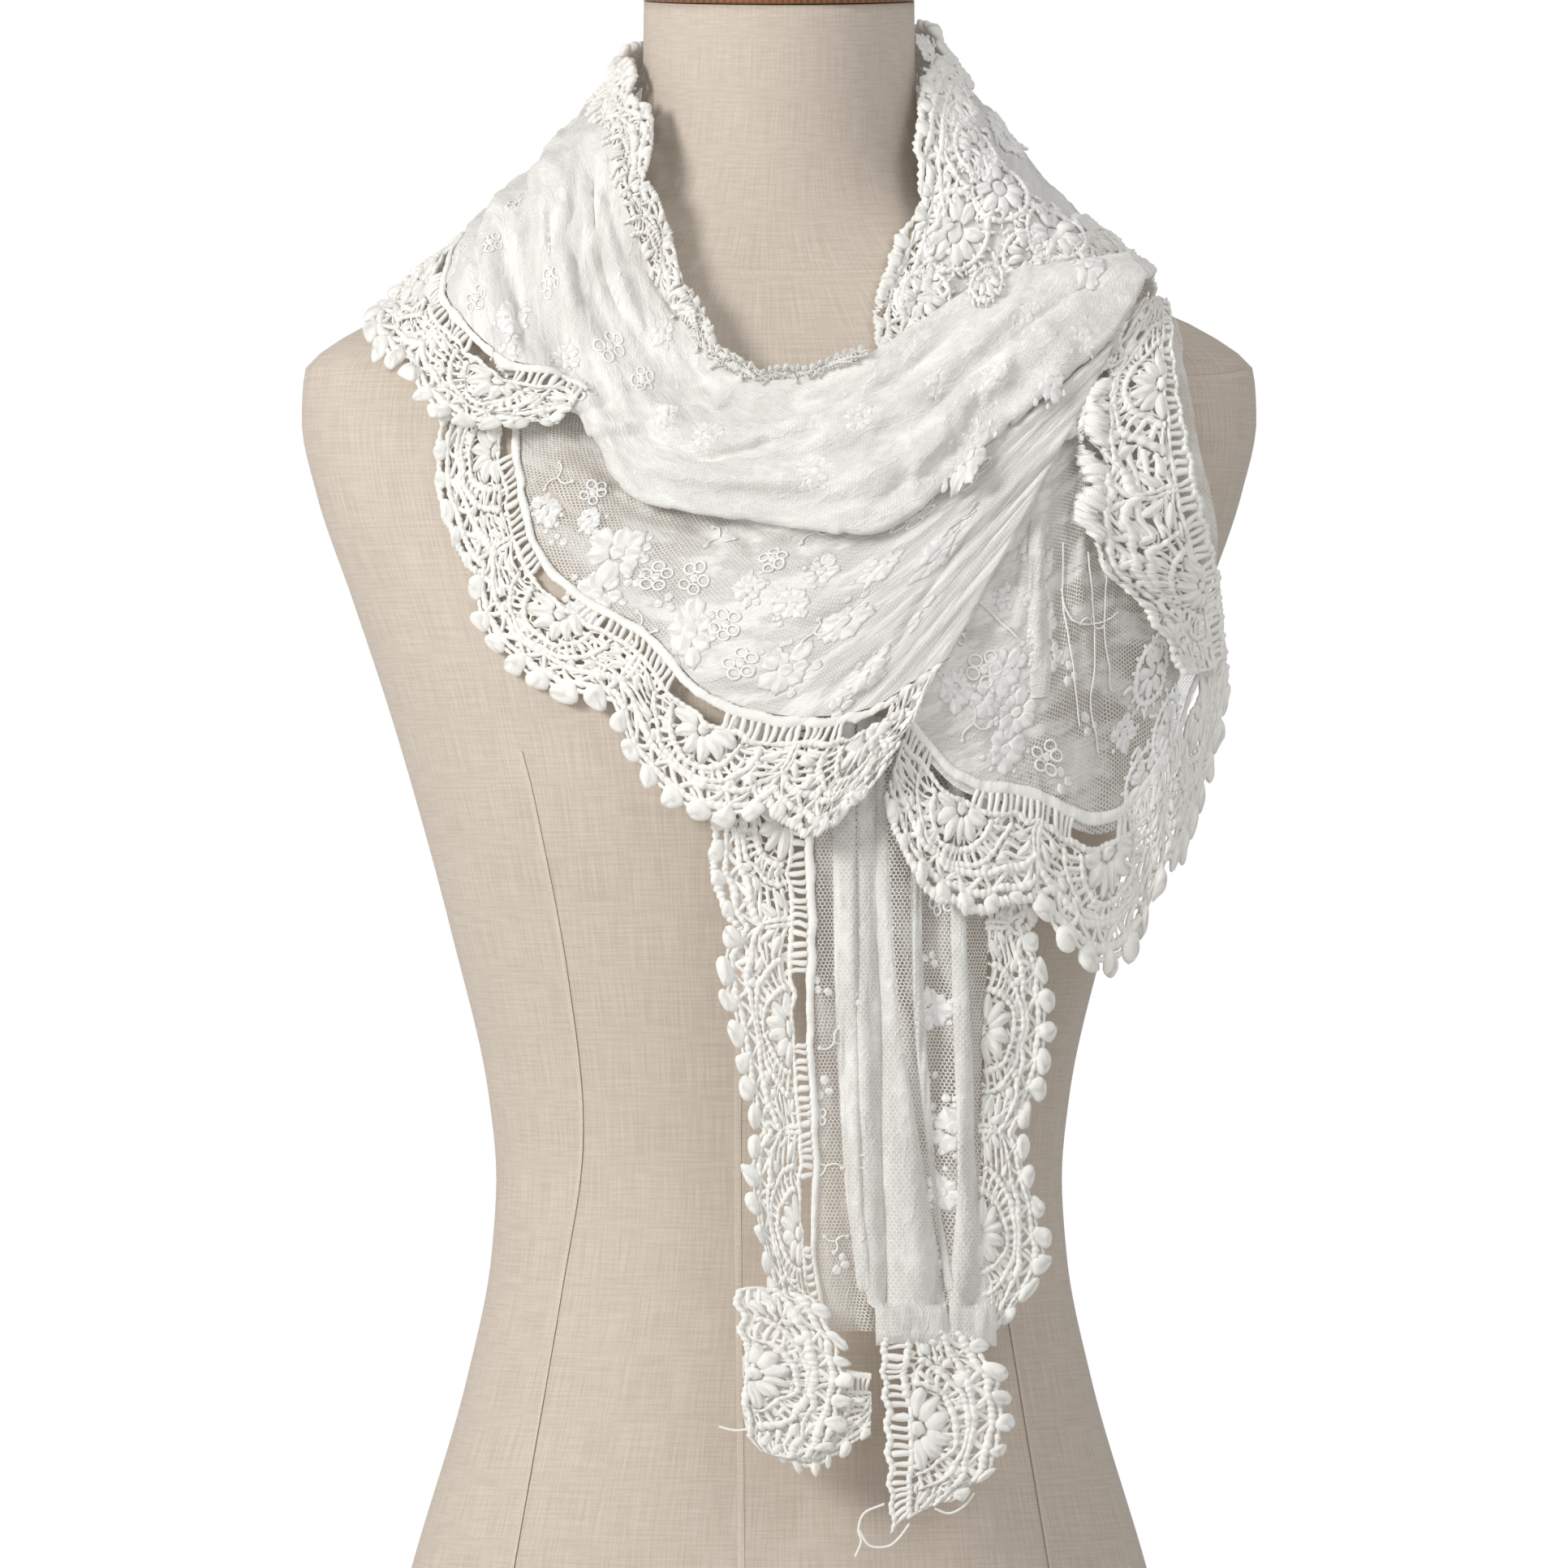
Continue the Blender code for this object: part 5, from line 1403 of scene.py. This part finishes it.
backNet = netShell("backNet", "back_net", neckCloth, neckLow, neckHigh, foldedNet, rightRidge, leftRidge)
rightNet = netShell(
    "rightFrontNet", "right_front_net", neckCloth, neckLow, neckHigh, closeNet, rightEnd, rightRidge
)
leftNet = netShell("leftFrontNet", "left_front_net", neckCloth, neckLow, neckHigh, closeNet, leftRidge, cowlStart)
cowlNet = netShell(
    "cowlNet", "cowl_net", neckCloth, neckLow, cowlHigh, closeNet, cowlStart, rolls=("last",), radius=2.6
)
first, last = neckTrim, neckSheet.lastBorder
neckBorders = {
    "backNeckBorder": (rightRidge, leftRidge, first, False, 28, 60, "back_neck_lace"),
    "backOuterBorder": (rightRidge, leftRidge, last, True, 46, 72, "back_outer_lace"),
    "rightNeckBorder": (rightEnd, rightRidge, first, False, 28, 60, "right_front_neck_lace"),
    "rightOuterBorder": (rightEnd, rightRidge, last, True, 46, 64, "right_front_outer_lace"),
    "leftNeckBorder": (leftRidge, cowlStart, first, False, 28, 45, "left_front_neck_lace"),
    "leftOuterBorder": (leftRidge, cowlStart, last, True, 46, 64, "left_front_outer_lace"),
    "cowlNeckBorder": (cowlStart, trimEnd, first, False, 22, 32, "cowl_neck_lace"),
}
for i, (name, (start, end, width, atLast, shown, repeat, node)) in enumerate(neckBorders.items()):
    kinds = (2,) if name in ("rightNeckBorder", "leftNeckBorder") else (0, 1, 2)
    border(name, node, neckCloth, width, atLast, start, end, shown, kinds, repeat, seed=i + 1)
embroidery("leftFrontMotifs", neckCloth, neckWrap["leftMotifs"], 0.6, 0.5)
embroidery("cowlMotifs", neckCloth, neckWrap["cowlMotifs"], 0.5, 0.22)
embroidery("rightFrontMotifs", neckCloth, neckWrap["rightMotifs"], 0.8)
scattered("backMotifs", neckCloth, rightRidge + 8, leftRidge - 8, 0.28, 0.68, *neckWrap["backMotifs"])
print("neck wrap made")

# The bib.
bib = {
    "creases": [
        (-99, 531, -73, 514, -1.4, 5), (-66, 528, -33, 513, 2.2, 4.5), (-33, 513, -10, 498, 1.8, 5),
        (-76, 536, -53, 524, -1.8, 5), (-53, 524, -20, 504, -1.6, 5), (-20, 501, 13, 508, -1.6, 6),
        (13, 508, 46, 528, -1.8, 6), (46, 528, 73, 547, -1.6, 6), (-10, 498, 16, 495, 1.4, 5),
        (-26, 448, 16, 445, -1.4, 7), (16, 445, 46, 465, -1.8, 7), (46, 465, 76, 508, -1.8, 7),
        (30, 442, 56, 481, 1.6, 6), (0, 475, 33, 481, 1.4, 7), (56, 495, 89, 538, 1.5, 7),
    ],
    "wrinkle": (0.6, 24, 9, 8),
    "motifs": [
        (-94, 518, 12, "blossom"), (-89, 505, 7, "bud"), (-76, 524, 10, "open"), (-77, 512, 10, "blossom"),
        (-65, 501, 21, "blossom"), (-49, 491, 12, "open"), (-35, 489, 12, "open"), (-58, 490, 8, "bud"),
        (-73, 484, 17, "blossom"), (-82, 476, 13, "blossom"), (-36, 469, 22, "blossom"), (-21, 472, 12, "open"),
        (-45, 480, 8, "bud"), (-12, 486, 12, "blossom"), (5, 479, 13, "blossom"), (3, 454, 19, "blossom"),
        (-16, 456, 12, "open"), (26, 473, 15, "blossom"), (-3, 498, 10, "open"), (16, 493, 12, "blossom"),
        (41, 495, 13, "blossom"), (53, 514, 12, "open"), (33, 452, 15, "blossom"), (23, 435, 11, "bud"),
        (63, 498, 14, "blossom"), (78, 531, 12, "open"), (56, 475, 11, "bud"), (14, 509, 9, "tendril"),
        (-25, 506, 9, "tendril"), (-56, 471, 9, "tendril"), (92, 554, 13, "blossom"), (13, 468, 8, "tendril"),
        (73, 514, 8, "tendril"), (-89, 531, 9, "tendril"),
    ],
}
bibSheet = Sheet(bibSections, bibFolds)
bibCloth = Cloth(bibSheet, bib["creases"], bib["wrinkle"])
bibHigh = alongBorder(bibSheet, bibSheet.lastBorder, True)
bibNet = netShell("bibNet", "bib_net", bibCloth, 0.0, bibHigh, bibNetFinish, rolls=("end",), radius=2.4)
border("bibBorder", "bib_lace", bibCloth, bibSheet.lastBorder, True, seed=11)
embroidery("bibMotifs", bibCloth, bib["motifs"], 0.65, 0.8, 1.3)
print("bib made")

# The drop from the right shoulder.
drop = {
    "creases": [
        (79, 495, 73, 445, -1.6, 6), (96, 514, 94, 465, -1.8, 5), (102, 518, 104, 448, 2.0, 5),
        (112, 511, 114, 452, -1.6, 5), (122, 495, 127, 435, 1.2, 5), (86, 442, 112, 409, -1.4, 6),
        (133, 455, 127, 409, -1.8, 5), (66, 445, 92, 415, 1.4, 6),
    ],
    "wrinkle": (0.5, 9, 24, 15),
    "stripWrinkle": (0.5, 12, 12, 4),
    "ribbon": [(104, 516), (105, 490), (106, 465), (105, 440)],
    "threads": [
        [(114, 505), (113, 480), (118, 455), (121, 430)],
        [(112, 486), (118, 474), (128, 471), (136, 476)],
        [(124, 500), (127, 470), (125, 440), (128, 420)],
        [(133, 496), (131, 470), (134, 445)],
        [(62, 500), (74, 486), (88, 474), (96, 466)],
    ],
    "motifs": [
        (92, 453, 17, "blossom"), (108, 458, 13, "blossom"), (83, 453, 14, "open"), (71, 445, 14, "blossom"),
        (85, 441, 15, "blossom"), (96, 435, 14, "blossom"), (91, 421, 15, "blossom"), (108, 417, 12, "open"),
        (114, 409, 9, "bud"), (126, 431, 9, "bud"), (71, 468, 11, "open"), (78, 491, 9, "bud"),
        (92, 482, 10, "blossom"), (105, 507, 12, "blossom"), (107, 494, 12, "blossom"),
        (105, 482, 12, "blossom"), (107, 470, 13, "blossom"), (95, 498, 9, "bud"), (63, 462, 10, "open"),
        (117, 450, 8, "bud"), (126, 473, 11, "tendril"), (132, 495, 8, "bud"), (79, 432, 10, "tendril"),
        (56, 442, 11, "bud"), (150, 452, 17, "rosette"), (157, 430, 16, "rosette"), (148, 408, 17, "rosette"),
        (139, 428, 12, "blossom"),
    ],
}
dropSheet = Sheet(dropSections, dropFolds)
dropCloth = Cloth(dropSheet, drop["creases"], drop["wrinkle"])
dropHigh = alongBorder(dropSheet, dropSheet.lastBorder, True, 0.86)
dropNet = netShell("dropNet", "drop_net", dropCloth, 0.0, dropHigh, dropNetFinish)
border("dropBorder", "drop_lace", dropCloth, dropSheet.lastBorder, True, seed=17)
stripSheet = Patch(dropSheet, sideStripRows, sideStripLift)
stripCloth, stripWidth = Cloth(stripSheet, (), drop["stripWrinkle"]), stripSheet.width * whole
border("shoulderStrip", "drop_side_lace", stripCloth, stripWidth, False, kinds=(5,), seed=19, taped=False)
ribbonOn("dropRibbon", dropCloth, drop["ribbon"], 5.0, 1.2, pleatNet)
looseThreads("dropThreads", dropCloth, drop["threads"])
embroidery("dropMotifs", dropCloth, drop["motifs"], 0.65, 0.8, 1.3)
print("drop made")

# The tail. A pleat of doubled net on it has its left and right side as seen at each height, and how far it rises.
Pleat = namedtuple("Pleat", "name sides height")

tail = {
    "folds": [Fold(*row) for row in (
        ((-0.30, 0.36), (1.30, 0.37), -1.4, 5), ((-0.30, 0.49), (1.30, 0.49), -1.8, 4),
        ((-0.30, 0.66), (1.30, 0.67), -1.8, 5), ((-0.30, 0.80), (1.30, 0.80), -1.2, 5),
    )],
    "wrinkle": (0.5, 40, 7, 21),
    "lapWrinkle": (0.8, 14, 14, 6),
    "motifs": [
        (63, 316, 15, "blossom"), (68, 270, 18, "blossom"), (61, 336, 8, "bud"), (61, 288, 8, "bud"),
        (17, 325, 8, "bud"), (24, 330, 7, "bud"), (28, 320, 8, "bud"), (18, 284, 9, "bud"),
        (17, 275, 8, "open"), (64, 244, 14, "blossom"), (40, 310, 12, "open"), (39, 257, 13, "open"),
        (38, 346, 11, "open"), (26, 216, 9, "bud"), (24, 226, 7, "tendril"), (41, 221, 12, "open"),
        (62, 216, 12, "blossom"), (20, 254, 9, "tendril"), (23, 303, 9, "tendril"), (63, 359, 10, "open"),
    ],
    "pleats": [
        Pleat("tailPleatNarrow", [(440, 21, 30), (330, 22, 31), (250, 26, 33), (204, 32, 37)], 1.2),
        Pleat("tailPleatBroad", [(440, 31, 41), (330, 31, 47), (250, 33, 58), (204, 35, 66), (183, 36, 69)], 2.0),
        Pleat("tailPleatThin", [(440, 52, 56), (330, 53, 57), (250, 60, 63), (204, 67, 71)], 1.0),
        Pleat("tailPleatRight", [(440, 67, 73), (330, 69, 75), (250, 71, 79), (204, 68, 86), (184, 67, 87)], 1.5),
    ],
    # how a pleat is laid, in mm of its height: a row, its closing end, its slope up to the lap, where it is
    # puffed above its end and over how much, and by what share
    "row": 2.0,
    "closing": 5.0,
    "slope": 14.0,
    "puffAt": 9.0,
    "puffHeight": 6.0,
    "puff": 0.5,
    "yarnLift": 7.5,
    "yarnEnds": [
        [(42, 120), (34, 116.4), (31.7, 110), (32.7, 105), (30.4, 99)],
        [(31.7, 110), (36, 103.5), (43, 103), (47.5, 106), (52, 112)],
        [(62, 118), (68, 116), (74, 119), (78, 124)],
        [(-12, 150), (-18, 149.5), (-24, 151)],
    ],
}
tailSheet = Sheet(tailSections, tailFolds)
tailCloth = Cloth(tailSheet, (), tail["wrinkle"], tail["folds"])
tailLow = alongBorder(tailSheet, tailSheet.firstBorder, False)
tailHigh = alongBorder(tailSheet, tailSheet.lastBorder, True)
tailNet = netShell("tailNet", "tail_net", tailCloth, tailLow, tailHigh, sheerNet)
border("tailLeftBorder", "tail_left_lace", tailCloth, tailSheet.firstBorder, False, seed=23)
border("tailRightBorder", "tail_right_lace", tailCloth, tailSheet.lastBorder, True, shown=34, seed=29)
tailMotifs = embroidery("tailMotifs", tailCloth, tail["motifs"], 0.65, 0.8, 1.2)
leftLap, rightLap = Sheet(endLeftSections), Sheet(endRightSections)
leftLapCloth, rightLapCloth = (Cloth(lap, (), tail["lapWrinkle"]) for lap in (leftLap, rightLap))


def rowSeen(cloth, z, share=0.5):
    # how far along a cloth its middle is seen at height z
    middle = cloth.points[:, int(cloth.points.shape[1] * share), 2]
    return float(np.interp(-z, -middle, np.arange(len(middle)) * cloth.ds))


def pleatOn(pleat, material, columns=21):
    # a strip of net laid over the tail and on over the top of its right lap, rounded across and gathered
    top, bottom = pleat.sides[0][0], pleat.sides[-1][0]
    lapTop = rightLapCloth.points[1, rightLapCloth.points.shape[1] // 2, 2]
    behind = tailCloth.at(rowSeen(tailCloth, lapTop), 0.6)
    before = rightLapCloth.at(1.0, 0.5)
    step = behind[1] - before[1]
    heights = np.array([side[0] for side in pleat.sides], float)[::-1]
    t, v = np.linspace(0, 1, columns), np.linspace(0, 1, 80)
    points, uvs, outwards = [], [], []
    closing = tail["closing"]
    rows = np.arange(top, bottom + closing, -tail["row"])
    for z in np.concatenate([rows, np.linspace(bottom + closing, bottom, 6)]):
        onLap = z < lapTop
        cloth = rightLapCloth if onLap else tailCloth
        s = rowSeen(cloth, z)
        seen = cloth.at(s + 0 * v, v)
        left, right = (float(eased(heights, [side[k] for side in pleat.sides][::-1], z)) for k in (1, 2))
        low, high = np.interp([left, right], seen[:, 0], v)
        nearLap = 0.0 if onLap else step * float(np.clip(1 - (z - lapTop) / tail["slope"], 0, 1)) ** 2
        puff = 1 + tail["puff"] * math.exp(-(((z - bottom - tail["puffAt"]) / tail["puffHeight"]) ** 2))
        ending = math.sqrt(max(0.0, 1 - max(0.0, 1 - (z - bottom) / closing) ** 2))
        raised = pleat.height * puff * (1 - (2 * t - 1) ** 6)
        raised = raised + 0.4 * softNoise(z / 26 + 0 * t, t * 4 + left, 9)
        raised = raised + 0.35 * softNoise(z / 60 + 0 * t, t * (right - left) / 2.6, 12)
        h = nearLap + (0.5 + raised) * ending
        points.append(cloth.at(s + 0 * t, low + (high - low) * t, h))
        outwards.append(cloth.at(s + 0 * t, low + (high - low) * t, h + 9.0) - points[-1])
        uvs.append(np.stack([-z + 0 * t, left + (right - left) * t], -1))
    skin = Skin()
    skin.add(points, uvs, facing(np.array(points), np.array(outwards)))
    return place(skin.make(pleat.name, material), "net")


tailPleats = [pleatOn(pleat, foldedNet if i == 0 else pleatNet) for i, pleat in enumerate(tail["pleats"])]

yarnEnds = Skin()
for path in tail["yarnEnds"]:
    thread(yarnEnds, [np.add(onFront(x, z), (0, -tail["yarnLift"], 0)) for x, z in through(path, 24)], 0.5)

wholeLap = rightLap.width * whole
# the lobe lies over the left lap, a little to its left
border(
    "leftEndLobe", None, leftLapCloth, leftLap.width * 0.86, True, 0, 54, 36.0, (3,), seed=5, shift=-0.12,
    lift=2.6, taped=False
)
border(
    "leftEndBorder", "tail_end_left_lace", leftLapCloth, leftLap.width, True, 22, kinds=(4,), seed=31, turned=True
)
border(
    "rightEndBorder", "tail_end_right_lace", rightLapCloth, wholeLap, True, 12, kinds=(4,), repeat=60, seed=33,
    extra=yarnEnds, taped=False
)
print("tail made")


# A width and length in millimetres, given as metres rounded to the millimetre.
def cut(width, length):
    return (round(width * mm, 3), round(length * mm, 3))


# Floor, lights and camera.
studio = {
    "air": 0.41,
    "key": {"at": (-2.2, -1.85, 1.55), "aim": (0, 0, 0.45), "size": 1.1, "power": 60.0, "colour": (1, 0.99, 0.97)},
    "fill": {"at": (1.0, -1.3, 1.75), "aim": (0.05, 0, 0.62), "size": 1.2, "power": 8.5, "colour": (1, 1, 1)},
    "cameraAt": (0.002, -6.0, 0.407),
    "frameHeight": 0.6376,
    "floorTone": (0.76, 0.76, 0.75),
}


def plain(name, colour, glow=0.0):
    # a plain matt finish for the stage, or one that only glows
    finish = Finish(name, colour, 0.9)
    if glow:
        finish.shader.inputs["Emission Color"].default_value = (1, 1, 1, 1)
        finish.shader.inputs["Emission Strength"].default_value = glow
        finish.shader.inputs["Base Color"].default_value = (0, 0, 0, 1)
        finish.shader.inputs["Specular IOR Level"].default_value = 0
    return finish.material


def panel(name, corners, material):
    # a flat panel that belongs to the stage and not to the object
    mesh = bpy.data.meshes.new(name)
    mesh.from_pydata(corners, [], [(0, 1, 2, 3)])
    mesh.materials.append(material)
    obj = bpy.data.objects.new(name, mesh)
    bpy.context.scene.collection.objects.link(obj)


paleFloor, whiteWall = plain("pale floor", studio["floorTone"]), plain("white backdrop", (1, 1, 1), 1.0)
panel("paleFloor", [(-3, -3, 0), (3, -3, 0), (3, 1.4, 0), (-3, 1.4, 0)], paleFloor)
panel("whiteBackdrop", [(-1.2, 9, -1.0), (1.2, 9, -1.0), (1.2, 9, 1.6), (-1.2, 9, 1.6)], whiteWall)


def softLight(name, at, aim, size, power, colour):
    light = bpy.data.lights.new(name, "AREA")
    light.shape, light.size, light.energy, light.color = "DISK", size, power, colour
    obj = bpy.data.objects.new(name, light)
    obj.location = at
    obj.rotation_euler = (Vector(aim) - Vector(at)).to_track_quat("-Z", "Y").to_euler()
    bpy.context.scene.collection.objects.link(obj)


softLight("keyLight", **studio["key"])
softLight("fillLight", **studio["fill"])

world = bpy.data.worlds.new("studio air")
world.use_nodes = True
world.node_tree.nodes["Background"].inputs[0].default_value = (1, 1, 1, 1)
world.node_tree.nodes["Background"].inputs[1].default_value = studio["air"]
bpy.context.scene.world = world
bpy.context.scene.view_settings.view_transform = "Standard"

camera = bpy.data.cameras.new("camera")
cameraObject = bpy.data.objects.new("camera", camera)
bpy.context.scene.collection.objects.link(cameraObject)
cameraObject.location = studio["cameraAt"]
cameraObject.rotation_euler = (math.pi / 2, 0, 0)
camera.angle = 2 * math.atan(studio["frameHeight"] / 2 / -studio["cameraAt"][1])
camera.clip_end = 100
bpy.context.scene.camera = cameraObject
print("stage set")
